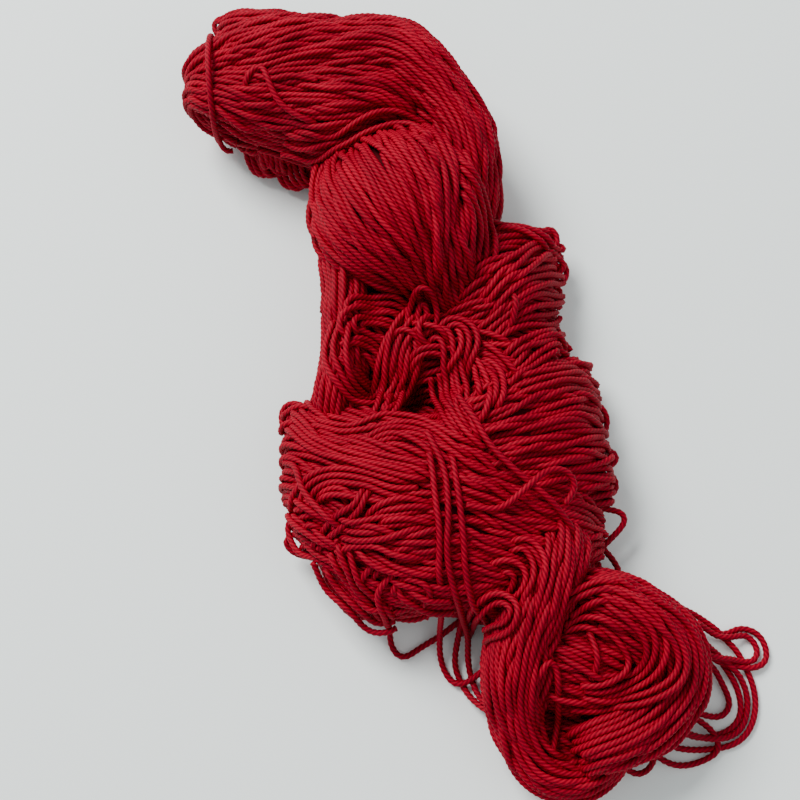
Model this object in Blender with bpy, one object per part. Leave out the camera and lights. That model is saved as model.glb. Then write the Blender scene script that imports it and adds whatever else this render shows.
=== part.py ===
"""A skein of cotton yarn, folded and lying on a table.

The yarn is one continuous strand, so it is one solid. Each roll, fan and fold of it is lofted along its own
path from a short table of sections, with ridges that run the way the strands run. The loops that stand
clear are tubes of the yarn's own thickness. A second, thin solid is the strand tied round the head.

Tables are in millimetres in a layout frame on the table top. The finished solids are in metres, +Z up, with
the origin under the middle of the skein's box.
"""

import math

import bmesh
import bpy
import numpy as np
from mathutils import Vector

MM = 0.001
YARN_DIAMETER = 2.4          # mm, a worsted-weight four-ply
LOCK_DIAMETER = 5.6          # mm, a few turns that lie together
SEAT_GAP = 0.45              # mm, between the tie and the yarn it holds
ORIGIN_IN_LAYOUT = (25.79, 9.75)   # mm, the middle of the box, seen from above

STATION_STEP = 12.0          # mm between lofted rings
STRAND_STEP = 6.0            # mm between the rings of a single turn
RIDGE_WIDTH = 9.5            # mm, one clump of strands
RIDGE_DEPTH = 2.0            # mm from a clump's crest to the groove beside it
LOW_CREST = 0.35             # the share of the groove's depth that the lowest crests lose
FULL_RIDGE_RADIUS = 14.0     # mm, ridges fade where a lobe is thinner than this
UPPER_FROM = -20.0           # degrees, the start of the part of a section that shows
UPPER_TO = 200.0             # degrees, its end
WELD = 2e-6                  # m, points closer than this are one
SAG = 1.08                   # how much deeper a lobe is below its middle than above it
FLOOR_DEPTH = 30.0           # mm, the block that trims the underside flat

# Every lobe is one row of sections from end to end. Columns:
# x, y, z of the section's middle, then its half width and its half height.
LOBES = {
    "head_outer_roll": (
        (-77, 124.5, 25, 6, 8.5),
        (-75, 125.5, 25, 8.5, 12),
        (-70.5, 126.5, 25, 11, 15.5),
        (-60, 128.5, 24.5, 16.5, 20.5),
        (-43, 130, 24.5, 19.5, 23.5),
        (-24, 129.5, 24.5, 17.5, 24.5),
        (-6, 131, 24.5, 17, 24.5),
        (4, 126, 24.5, 15.5, 24.5),
        (11, 118, 24.5, 14.5, 24.5),
        (18, 108, 24, 13.5, 24),
        (24, 96, 22, 13, 22.5),
        (26.5, 82, 19.5, 12, 20),
        (25, 69, 17, 11, 16),
        (19, 58, 15, 7, 9),
    ),
    "head_inner_roll": (
        (-77, 118, 24.5, 5.5, 8),
        (-75, 117.5, 24.5, 7.5, 11.5),
        (-70.5, 116.5, 24.5, 9.5, 14.5),
        (-63, 115.5, 24.5, 12.5, 18.5),
        (-55, 114.5, 24, 15.5, 21),
        (-40, 112.5, 23.5, 17, 23),
        (-24, 110.5, 24, 19.5, 24),
        (-8, 112, 23.5, 15.5, 22),
        (4, 108, 20, 11, 17),
        (11, 99, 15, 6, 8),
    ),
    "second_twist": (
        (-1, 109, 10, 10, 6),
        (-4, 100, 13, 19, 11),
        (-6, 91, 17.5, 26.5, 17.5),
        (-4, 81, 24, 31, 24),
        (-0.5, 71, 28, 33, 29),
        (5, 61, 27, 30, 28),
        (11, 51, 24, 21.5, 23.5),
        (16, 42.5, 20, 14, 17),
        (21, 34, 16, 8, 11),
        (25, 26, 12, 5, 6),
    ),
    "left_column": (
        (-18, 68, 14, 7, 9),
        (-21.5, 55, 15, 7.5, 14),
        (-19.5, 40, 17, 8.5, 17),
        (-19.5, 25, 18, 9, 18),
        (-20.5, 9, 18, 9.5, 18),
        (-24, -6, 16, 8, 13),
        (-26, -17, 14, 5, 7),
    ),
    "loose_middle": (
        (-19, 22, 13, 11, 7),
        (-11, 23, 15, 19.5, 13),
        (4, 20.5, 15, 20, 14),
        (20, 17.5, 16, 19.5, 15),
        (36, 14, 17, 22, 16),
        (50, 11, 16, 18, 12),
        (58, 10, 13, 12, 7),
    ),
    "right_fan": (
        (12, 33, 15, 5, 7),
        (22, 37, 17, 13, 14),
        (35, 43, 18, 22, 17.5),
        (46, 44.5, 15, 24, 14),
        (53, 44, 13, 22.5, 10),
        (56.5, 43.8, 12, 20.5, 5),
    ),
    "right_fold": (
        (4, -26, 15, 8, 8),
        (17, -22.5, 20, 18, 16),
        (34, -18, 22, 26, 22),
        (51, -15, 20, 28.5, 20),
        (62, -12.5, 16, 28.5, 15),
        (68, -11, 14, 28, 11),
        (71, -10.5, 13, 25.5, 5),
    ),
    "belly": (
        (-39, -16.5, 11, 14.5, 4.5),
        (-35, -17, 14, 20, 11),
        (-25, -22.5, 17, 27, 16),
        (-9, -32, 21, 35, 21),
        (10, -40, 23, 36, 23),
        (28, -45, 22, 32, 22),
        (45, -48, 20, 27, 19),
        (59, -50, 17, 20, 14),
        (68, -51, 15, 12, 7),
    ),
    "belly_underfold": (
        (-28, -44, 12, 6, 7),
        (-21, -55.5, 13, 7, 11),
        (-12, -67, 13.5, 10, 12.5),
        (1, -70.5, 15, 8.5, 14),
        (16, -66, 17, 9, 15.5),
        (31, -68, 17, 12, 16),
        (44, -76, 16, 9, 10),
    ),
    "tail_descent": (
        (55, -44, 22, 8, 12),
        (53, -58, 23, 11, 19),
        (47, -75, 21, 13, 20),
        (41, -92, 18, 12, 18.5),
        (38.5, -108, 15, 9.5, 15),
        (42, -120.5, 12, 9, 11.5),
        (50, -129, 10, 8.5, 9.5),
        (61, -131, 9, 7, 8.5),
        (71, -126, 9, 5.5, 8),
        (78, -118, 9, 4, 6),
    ),
    "tail_turn": (
        (60, -69, 19, 9, 12),
        (69, -73, 20, 12, 18),
        (79.5, -79, 19, 13, 18.5),
        (89.5, -87, 17, 13.5, 17),
        (93, -99, 16, 14.5, 16),
        (87, -110, 16, 12.5, 15),
        (77, -117, 17, 10.5, 13),
        (68, -120.5, 18, 9.5, 11),
        (63, -122.5, 17, 8.5, 7),
    ),
    "tail_heart": (
        (46, -88, 15, 12, 10),
        (57, -91, 17, 18, 15),
        (70, -94, 16, 17, 14),
        (81, -96, 14, 10, 9),
    ),
    "tail_hollow": (
        (46, -112, 6, 6, 6),
        (56, -116, 6.5, 10, 7.5),
        (67, -119, 6.5, 10, 7.5),
        (76, -119, 6, 6, 6),
    ),
    "hanging_bunch": (
        (-47, 113, 15, 8, 9),
        (-48, 106, 14, 9, 11),
        (-48, 101, 13, 7, 8),
        (-47.5, 97.5, 12, 4, 4),
    ),
    "bunch_behind": (
        (-26, 141, 20, 5, 9),
        (-36, 144, 20, 7, 11.5),
        (-47, 147, 19, 8, 12),
        (-57, 149, 18, 8.5, 11),
        (-64, 150, 17, 8, 9),
        (-68, 150.5, 16, 6.5, 5),
    ),
}

# Turns of the ridges round a lobe from one end to the other, where the strands spiral.
LOBE_TWIST = {
    "head_outer_roll": 0.10,
    "head_inner_roll": -0.12,
    "second_twist": -0.06,
    "tail_descent": 0.12,
    "tail_turn": -0.08,
}

# Single turns of yarn that stand clear of the lobes or cross over them. Columns: x, y, z along each.
STRAYS = {
    "fan_top_loop": ((44, 56, 20), (54, 67.5, 16), (58, 67, 16), (58.5, 62, 15), (55, 58, 15), (47, 52, 18)),
    "fan_side_loop": ((49, 55, 16), (58, 59, 14), (62.5, 54, 13), (61, 48, 12), (52, 48, 15)),
    "fold_low_loop": (
        (61, -38, 18), (71, -38.5, 15), (79, -40, 14), (80, -43.5, 13), (74, -50, 12), (66, -57, 13),
        (57, -60, 14),
    ),
    "neck_loop": ((66, -46, 12), (74, -54, 10), (77.5, -59, 9), (78, -64, 9), (76, -71, 11)),
    "belly_left_loop": (
        (-22, -48, 18), (-32, -47, 14), (-39, -48, 12), (-41, -50.5, 10), (-37, -54, 8.5), (-30, -55, 9),
        (-22, -52, 12),
    ),
    "belly_edge_loop": ((-31, -24, 18), (-38.5, -29, 14), (-41, -34, 11), (-38, -39.5, 10), (-31, -38, 12)),
    "floor_loop": (
        (-8, -72, 11), (-4, -79, 6), (-3, -86, 2.4), (1, -90, 1.5), (8, -86, 2), (15, -82, 4), (23, -76, 8),
    ),
    "crossing_strand_left": (
        (10, -26, 46.7), (12, -44, 47.5), (13, -55, 45.2), (13, -66, 39.2), (14.5, -74, 28.2), (14, -82, 10),
        (14.5, -91, 2.4), (18, -98, 1.5), (23, -99, 2.5), (30, -94, 7), (36, -89, 12),
    ),
    "crossing_strand_middle": (
        (9, -18, 45.2), (15, -33, 47.2), (16, -47, 47.2), (15.5, -58, 44.2), (17, -67, 38.2), (20, -75, 29.2),
        (23.5, -83, 13), (24, -91, 5), (25.5, -99, 3), (30, -107, 7), (37, -110, 10),
    ),
    "crossing_strand_right": (
        (16, -24, 42), (18, -30, 46.4), (20, -45, 47.2), (21, -55, 45.2), (22, -66, 40.2),
        (25, -75, 31.2), (31, -81, 22),
    ),
    "low_hanging_strand": (
        (22, -78, 12), (20, -86, 5), (19.5, -93, 2), (22, -100, 1.5), (27, -106, 4), (34, -110, 9),
    ),
    "small_double_loop_outer": (
        (95, -76, 12), (106, -79, 6), (115, -82, 3), (121, -79.5, 1.5), (127, -81, 1.5), (130, -86, 1.5),
        (129.5, -91.5, 1.5), (124, -93.5, 2.5), (114, -92, 5), (103, -88, 9),
    ),
    "wide_loop_outer": (
        (94, -72, 14), (105, -76, 8), (115, -83, 4), (121, -90, 2.5), (124.5, -99, 1.5), (125, -107, 1.5),
        (122.5, -114.5, 1.5), (117, -119.5, 1.5), (108, -121.5, 2), (96, -121, 4), (86, -116, 8),
    ),
    "wide_loop_middle": (
        (101, -83, 11), (110, -88, 6), (116, -95, 3.2), (119.5, -103, 1.7), (119, -111, 1.6),
        (113, -116, 1.6), (103, -117.5, 4), (92, -113, 9),
    ),
    "wide_loop_inner": (
        (101, -87, 11), (109, -92, 5.4), (113.5, -99, 2.7), (116, -106, 1.6), (113, -111, 1.6),
        (101, -110, 7),
    ),
    "low_loop": (
        (82, -116, 8), (90, -124.5, 4), (98, -127, 1.5), (106, -125, 1.5), (112, -120.5, 2.6),
        (108, -113, 5),
    ),
    "foot_loop": ((68, -118, 12), (77, -127, 6), (82, -130, 4), (87, -127, 4), (89, -118, 8)),
    "back_small_loop": ((-62, 151, 20), (-69, 156, 18), (-73, 156, 16), (-72, 151, 15), (-63, 148, 16)),
    "slanting_strand": (
        (20, -4, 40), (25, -14, 44.5), (31, -24, 46.3), (40, -33, 45.8), (50, -41, 43), (57, -49, 38),
        (62, -58, 30), (66, -65, 23),
    ),
    "hooked_strand": (
        (56, -42, 38), (59.5, -36, 39.5), (56, -31, 42), (49, -32, 44.4), (42, -38, 45.4), (33, -45, 45.7),
        (22, -44, 47),
    ),
    "low_curl_outer": (
        (34, -54, 41), (41, -55.5, 40), (46, -60, 41), (48, -68, 40), (46, -76, 39), (42, -84, 37),
    ),
}

# Locks of two or three turns that lie together in the loose middle. Columns: x, y, z along each.
LOCKS = {
    "knot_lock": ((-3, 40, 32), (3, 43, 39), (9, 40, 42), (11, 33, 41), (6, 27, 40), (0, 31, 39)),
    "curl_lock": ((11, 25, 38), (17, 31, 40), (24, 30, 40.5), (28, 23, 40), (26, 15, 39.5), (20, 8, 38)),
    "drop_lock": ((-2, 37, 37), (-5, 27, 39.5), (-6, 16, 39.5), (-5, 6, 37.5), (-10, -2, 34), (-17, -6, 32)),
    "cross_lock": ((-19, 32, 33), (-9, 35, 36), (1, 33, 39), (12, 36, 40)),
    "fan_lock": ((14, 28, 40), (24, 36, 39), (34, 44, 35), (44, 51, 29)),
}

# The tie goes once round the head, and its free end hooks out beside the table top.
TIE_SECTION = (-70.5, 122.2, 24.4, 17.8, 18)     # x, y, z of its middle, half width, half height
TIE_FACING = (0.998, 0.06, 0.0)                 # the way the head runs there
TIE_POINTS = 30              # round the section
TIE_FROM = 308.0             # degrees round the section, from its near side
TIE_TO = -32.0               # degrees
TIE_FREE_END = (             # x, y, z
    (-69.3, 105.6, 11), (-68.2, 103.8, 9.4), (-66.4, 103, 8.8), (-64.8, 103.8, 9),
)


def clear_scene():
    """Remove every object that the scene starts with."""
    for item in list(bpy.data.objects):
        bpy.data.objects.remove(item, do_unlink=True)


def make_collection(name):
    """Make a collection in the scene."""
    collection = bpy.data.collections.new(name)
    bpy.context.scene.collection.children.link(collection)
    return collection


def make_material(name, colour, roughness):
    """Make a plain cotton finish of one colour."""
    material = bpy.data.materials.new(name)
    material.use_nodes = True
    shader = material.node_tree.nodes["Principled BSDF"]
    shader.inputs["Base Color"].default_value = (*colour, 1.0)
    shader.inputs["Roughness"].default_value = roughness
    shader.inputs["Metallic"].default_value = 0.0
    return material


def smooth_rows(rows, step):
    """Read rows from a Catmull-Rom curve through a table, about `step` mm apart along its path."""
    table = np.array(rows, dtype=float)
    padded = np.vstack([2 * table[0] - table[1], table, 2 * table[-1] - table[-2]])
    out = [table[0]]
    for i in range(len(table) - 1):
        before, start, end, after = padded[i:i + 4]
        count = max(1, round(float(np.linalg.norm((end - start)[:3])) / step))
        for k in range(1, count + 1):
            t = k / count
            out.append(0.5 * (2 * start + (end - before) * t
                              + (2 * before - 5 * start + 4 * end - after) * t * t
                              + (3 * start - before - 3 * end + after) * t ** 3))
    return np.array(out)


def section_frames(path):
    """Level side vector and upward vector of a path at each of its points."""
    tangent = np.gradient(path, axis=0)
    tangent /= np.linalg.norm(tangent, axis=1, keepdims=True)
    side = np.cross(tangent, (0.0, 0.0, 1.0))
    side /= np.linalg.norm(side, axis=1, keepdims=True)
    return side, np.cross(side, tangent)


def section_angles(girth):
    """Angles round a section: a point on each crest and in each groove, half as many underneath."""
    upper = math.radians(UPPER_TO - UPPER_FROM)
    crests = max(4, round(girth * upper / math.tau / RIDGE_WIDTH))
    top = math.radians(UPPER_FROM) + upper * np.linspace(0.0, 1.0, 2 * crests + 1)
    under = 2 * max(1, round(crests * (math.tau / upper - 1.0) / 2)) + 1
    bottom = top[-1] + (math.tau - upper) * np.arange(1, under + 1) / (under + 1)
    return np.concatenate([top, bottom])


def lobe_mesh(name, rows, seed):
    """Loft one lobe along its path, its ridges running with the strands, and close both ends."""
    sections = smooth_rows(rows, STATION_STEP)
    path = sections[:, :3]
    half_width = sections[:, 3]
    half_height = sections[:, 4]
    side, up = section_frames(path)
    angle = section_angles(math.pi * float(half_width.max() + half_height.max()))
    around = len(angle)
    groove = np.arange(around) % 2
    low_crest = LOW_CREST * (1 - groove) * np.sin(2.3 * np.arange(around) + seed) ** 2
    along = np.linspace(0.0, 1.0, len(sections))
    turned = angle[None, :] + math.tau * LOBE_TWIST.get(name, 0.0) * along[:, None]
    fade = np.clip(np.minimum(half_width, half_height) / FULL_RIDGE_RADIUS, 0.15, 1.0)
    uneven = 0.8 + 0.2 * np.sin(math.tau * 1.3 * along[:, None] + 1.7 * np.arange(around)[None, :] + seed)
    inset = RIDGE_DEPTH * fade[:, None] * uneven * (groove + low_crest)[None, :]
    across = (half_width[:, None] - inset) * np.cos(turned)
    above = (half_height[:, None] - inset) * np.sin(turned) * np.where(np.sin(turned) < 0.0, SAG, 1.0)
    points = path[:, None, :] + across[..., None] * side[:, None, :] + above[..., None] * up[:, None, :]

    mesh = bpy.data.meshes.new(name)
    shape = bmesh.new()
    rings = [[shape.verts.new(Vector(p * MM)) for p in ring] for ring in points]
    for near, far in zip(rings, rings[1:]):
        for k in range(around):
            following = (k + 1) % around
            shape.faces.new((near[k], near[following], far[following], far[k]))
    for ring, middle in ((rings[0], path[0]), (rings[-1], path[-1])):
        tip = shape.verts.new(Vector(middle * MM))
        for k in range(around):
            shape.faces.new((ring[k], ring[(k + 1) % around], tip))
    bmesh.ops.triangulate(shape, faces=shape.faces)
    bmesh.ops.recalc_face_normals(shape, faces=shape.faces)
    shape.to_mesh(mesh)
    shape.free()
    return mesh


def tube_object(name, points, diameter, collection):
    """Sweep a round section along the points, close its ends, and make it a mesh."""
    curve = bpy.data.curves.new(name, "CURVE")
    curve.dimensions = "3D"
    curve.bevel_depth = 0.5 * diameter * MM
    curve.bevel_resolution = 1
    curve.use_fill_caps = True
    spline = curve.splines.new("POLY")
    spline.points.add(len(points) - 1)
    for target, point in zip(spline.points, points):
        target.co = (*(np.asarray(point) * MM), 1.0)
    holder = bpy.data.objects.new(name, curve)
    collection.objects.link(holder)
    bpy.context.view_layer.update()
    evaluated = holder.evaluated_get(bpy.context.evaluated_depsgraph_get())
    mesh = bpy.data.meshes.new_from_object(evaluated)
    shape = bmesh.new()
    shape.from_mesh(mesh)
    bmesh.ops.remove_doubles(shape, verts=shape.verts, dist=1e-6)
    bmesh.ops.triangulate(shape, faces=shape.faces)
    bmesh.ops.recalc_face_normals(shape, faces=shape.faces)
    shape.to_mesh(mesh)
    shape.free()
    solid = bpy.data.objects.new(name, mesh)
    solid.matrix_world = holder.matrix_world
    bpy.data.objects.remove(holder, do_unlink=True)
    bpy.data.curves.remove(curve)
    solid.name = name
    collection.objects.link(solid)
    return solid


def mesh_object(name, mesh, collection):
    """Put a mesh into the scene as an object."""
    item = bpy.data.objects.new(name, mesh)
    collection.objects.link(item)
    return item


def combine(body, other, operation):
    """Join another solid to the body, or cut it away, and remove the other solid."""
    step = body.modifiers.new("combine", "BOOLEAN")
    step.operation = operation
    step.solver = "EXACT"
    step.object = other
    bpy.context.view_layer.update()
    evaluated = body.evaluated_get(bpy.context.evaluated_depsgraph_get())
    result = bpy.data.meshes.new_from_object(evaluated)
    body.modifiers.remove(step)
    body.data = result
    bpy.data.objects.remove(other, do_unlink=True)


def floor_cutter(collection):
    """A block just under the table top, wider than the skein."""
    bpy.ops.mesh.primitive_cube_add(size=1.0, location=(0.0, 0.0, -0.5 * FLOOR_DEPTH * MM))
    block = bpy.context.active_object
    block.name = "under_the_table_top"
    block.scale = (0.6, 0.6, FLOOR_DEPTH * MM)
    bpy.ops.object.transform_apply(location=True, rotation=False, scale=True)
    for owner in list(block.users_collection):
        owner.objects.unlink(block)
    collection.objects.link(block)
    block.hide_render = True
    block.display_type = "WIRE"
    return block


def connected_groups(shape):
    """The groups of vertices that hang together, the largest first."""
    groups = []
    left = set(shape.verts)
    while left:
        front = [left.pop()]
        group = list(front)
        while front:
            vertex = front.pop()
            near = [edge.other_vert(vertex) for edge in vertex.link_edges]
            fresh = [other for other in near if other in left]
            left.difference_update(fresh)
            front.extend(fresh)
            group.extend(fresh)
        groups.append(group)
    return sorted(groups, key=len, reverse=True)


def clean_mesh(item):
    """Fill the pinhead bubbles that the joins enclose, weld what meets, and keep plain triangles."""
    shape = bmesh.new()
    shape.from_mesh(item.data)
    for bubble in connected_groups(shape)[1:]:
        bmesh.ops.delete(shape, geom=bubble, context="VERTS")
    bmesh.ops.remove_doubles(shape, verts=shape.verts, dist=WELD)
    bmesh.ops.dissolve_degenerate(shape, edges=shape.edges, dist=WELD)
    bmesh.ops.triangulate(shape, faces=shape.faces)
    shape.to_mesh(item.data)
    shape.free()


def move_to_origin(item):
    """Shift a mesh from the layout frame to the part's own origin."""
    shift = Vector((-ORIGIN_IN_LAYOUT[0] * MM, -ORIGIN_IN_LAYOUT[1] * MM, 0.0))
    shape = bmesh.new()
    shape.from_mesh(item.data)
    bmesh.ops.translate(shape, verts=shape.verts, vec=shift)
    shape.to_mesh(item.data)
    shape.free()


def build_hank(collection, cutters):
    """Join the lobes and the loops into the one wound solid, and trim it flat where it rests."""
    body = None
    for number, (name, rows) in enumerate(LOBES.items()):
        lobe = mesh_object(name, lobe_mesh(name, rows, number), collection)
        if body is None:
            body = lobe
        else:
            combine(body, lobe, "UNION")
    for table, diameter in ((LOCKS, LOCK_DIAMETER), (STRAYS, YARN_DIAMETER)):
        for name, route in table.items():
            points = smooth_rows(route, STRAND_STEP)
            combine(body, tube_object(name, points, diameter, collection), "UNION")
    combine(body, floor_cutter(cutters), "DIFFERENCE")
    clean_mesh(body)
    body.name = "yarn_hank"
    body.data.name = "yarn_hank"
    move_to_origin(body)
    return body


def tie_route():
    """The tie's path: once round the head, just clear of its crests, then out to the free end."""
    middle = np.array(TIE_SECTION[:3])
    side = np.cross(TIE_FACING, (0.0, 0.0, 1.0))
    reach = 0.5 * YARN_DIAMETER + SEAT_GAP
    angle = np.radians(np.linspace(TIE_FROM, TIE_TO, TIE_POINTS))
    below = np.where(np.sin(angle) < 0.0, SAG, 1.0)
    across = (TIE_SECTION[3] + reach) * np.cos(angle)
    above = (TIE_SECTION[4] * below + reach) * np.sin(angle)
    ring = middle + across[:, None] * side + above[:, None] * np.array([0.0, 0.0, 1.0])
    free_end = smooth_rows(np.vstack([ring[-1], TIE_FREE_END]), YARN_DIAMETER)
    return np.vstack([ring, free_end[1:]])


def build_tie(collection):
    """Make the strand tied round the head."""
    tie = tube_object("yarn_tie", tie_route(), YARN_DIAMETER, collection)
    move_to_origin(tie)
    return tie


def main():
    """Build the skein."""
    clear_scene()
    collection = make_collection("cotton_yarn_skein")
    cutters = make_collection("cutters")
    crimson = make_material("crimson_cotton", (0.42, 0.004, 0.016), 0.8)
    tie_finish = make_material("crimson_cotton_tie", (0.36, 0.003, 0.014), 0.8)
    hank = build_hank(collection, cutters)
    hank.data.materials.clear()
    hank.data.materials.append(crimson)
    tie = build_tie(collection)
    tie.data.materials.clear()
    tie.data.materials.append(tie_finish)
    for item in (hank, tie):
        item.data.shade_smooth()
        item.data.set_sharp_from_angle(angle=math.radians(40.0))


main()
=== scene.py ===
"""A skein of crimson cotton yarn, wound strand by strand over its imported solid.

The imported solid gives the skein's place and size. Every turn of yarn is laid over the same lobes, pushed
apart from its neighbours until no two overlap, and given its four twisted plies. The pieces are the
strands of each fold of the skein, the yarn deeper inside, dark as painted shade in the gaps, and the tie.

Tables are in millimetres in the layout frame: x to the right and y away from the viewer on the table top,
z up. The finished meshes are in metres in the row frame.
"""

from __future__ import annotations

import logging
import math
from dataclasses import dataclass
from enum import Enum

import bpy
import numpy as np
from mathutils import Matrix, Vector


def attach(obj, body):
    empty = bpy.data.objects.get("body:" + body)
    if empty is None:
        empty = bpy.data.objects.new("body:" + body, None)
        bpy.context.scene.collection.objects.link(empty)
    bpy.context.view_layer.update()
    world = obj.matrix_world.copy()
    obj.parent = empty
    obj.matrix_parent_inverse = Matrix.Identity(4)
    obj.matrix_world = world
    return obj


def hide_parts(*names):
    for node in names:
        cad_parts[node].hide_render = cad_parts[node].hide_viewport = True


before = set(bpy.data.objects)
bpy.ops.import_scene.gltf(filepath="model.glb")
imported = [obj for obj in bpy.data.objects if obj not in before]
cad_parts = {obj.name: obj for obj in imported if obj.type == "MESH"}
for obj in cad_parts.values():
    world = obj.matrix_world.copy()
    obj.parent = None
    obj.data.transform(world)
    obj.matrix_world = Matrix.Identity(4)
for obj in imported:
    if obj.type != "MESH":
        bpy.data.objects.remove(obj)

LOG = logging.getLogger("yarn_skein")

MM = 0.001
BODY = "root"
YARN_SLOT = "crimson_cotton"
TIE_SLOT = "crimson_cotton_tie"
UP = (0.0, 0.0, 1.0)
ORIGIN_IN_LAYOUT = (25.79, 9.75)  # mm, the row frame's origin on the table
YARN_RADIUS = 1.2  # mm, a worsted-weight four-ply
PATH_STEP = 1.5  # mm between stations of a lobe, and between points while settling
SAG = 1.08  # how much deeper a lobe is below its middle than above it
THINNEST = 0.6  # mm, the least half width or height of a section
OUTSIDE = -99.0  # mm, the depth given to a place that is nowhere near a lobe

Points = tuple[tuple[float, ...], ...]


class Fold(Enum):
    """The skein's folds. Each is one piece."""

    HEAD_OUTER = "yarn_head_outer"
    HEAD_INNER = "yarn_head_inner"
    TWIST = "yarn_second_twist"
    COLUMN = "yarn_left_column"
    MIDDLE = "yarn_loose_middle"
    FAN = "yarn_right_fan"
    RIGHT = "yarn_right_fold"
    BELLY = "yarn_belly"
    UNDERFOLD = "yarn_underfold"
    TAIL = "yarn_tail_descent"
    TURN = "yarn_tail_turn"
    BUNCHES = "yarn_small_bunches"
    STRAYS = "yarn_stray_loops"
    TIE = "yarn_tie_strand"


class Folded(Enum):
    """Which end of a lobe its strands turn over. At the others they run on under the next fold."""

    NEITHER = "neither"
    FIRST = "first"
    LAST = "last"


@dataclass(frozen=True)
class Lobe:
    """One fold of the skein and how its strands lie.

    Attributes:
        fold: The piece its strands belong to.
        rows: Sections from end to end: x, y, z of the middle, half width, half height, all in mm.
        cover: Strands laid for each one that fits side by side.
        wander: Sideways drift of a strand along its way, mm.
        heave: Up-and-down drift, mm.
        turns: Turns of the strands round the lobe from one end to the other.
        folded: The end that the strands turn over.
        loops: Share of the folded strands that turn back on top, in pairs.
        reach: How far the turns at a folded end stand past it, mm.
        gather: How closely strands follow the lobe as it narrows to a folded end, 0 to 1.
    """

    fold: Fold
    rows: Points
    cover: float = 1.5
    wander: float = 1.2
    heave: float = 0.35
    turns: float = 0.0
    folded: Folded = Folded.NEITHER
    loops: float = 0.3
    reach: float = 2.2
    gather: float = 0.3


@dataclass
class Strand:
    """One run of yarn.

    Attributes:
        points: Its path, (n, 3), mm in the layout frame.
        fold: The piece it belongs to.
        hold: How firmly it keeps its place while the yarn settles, 0 to 1.
        tone: Lightness of the dye on this turn, about 1.
        hidden: True for each point that lies inside the skein, while it is laid on a lobe.
    """

    points: np.ndarray
    fold: Fold
    hold: float = 0.03
    tone: float = 1.0
    hidden: np.ndarray | None = None


@dataclass(frozen=True)
class Finish:
    """Dyed cotton or paint, or a dark colour painted as shade.

    Attributes:
        colour: Its colour, on twisted yarn that of a ply's crest.
        groove: A darker colour painted in the groove between plies as shade, or None where the colour is even.
        roughness: Its roughness.
        specular: Strength of its shine.
    """

    colour: tuple[float, float, float]
    groove: tuple[float, float, float] | None = None
    roughness: float = 0.6
    specular: float = 0.07


# The groove colours, about a third of the crests', are painted shade in the grooves between the plies.
CRIMSON = Finish((0.372, 0.0, 0.0178), groove=(0.12, 0.0, 0.0048))
TIE_CRIMSON = Finish((0.36, 0.0, 0.018), groove=(0.115, 0.0, 0.0048))
# The core's colour is painted shade: far darker than the yarn, so that the gaps between strands look shaded.
CORE_PAINTED_SHADE = Finish((0.055, 0.0, 0.0022), roughness=0.95, specular=0.15)
TABLE_PAINT = Finish((0.92, 0.97, 0.945), roughness=0.7, specular=0.15)

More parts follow.
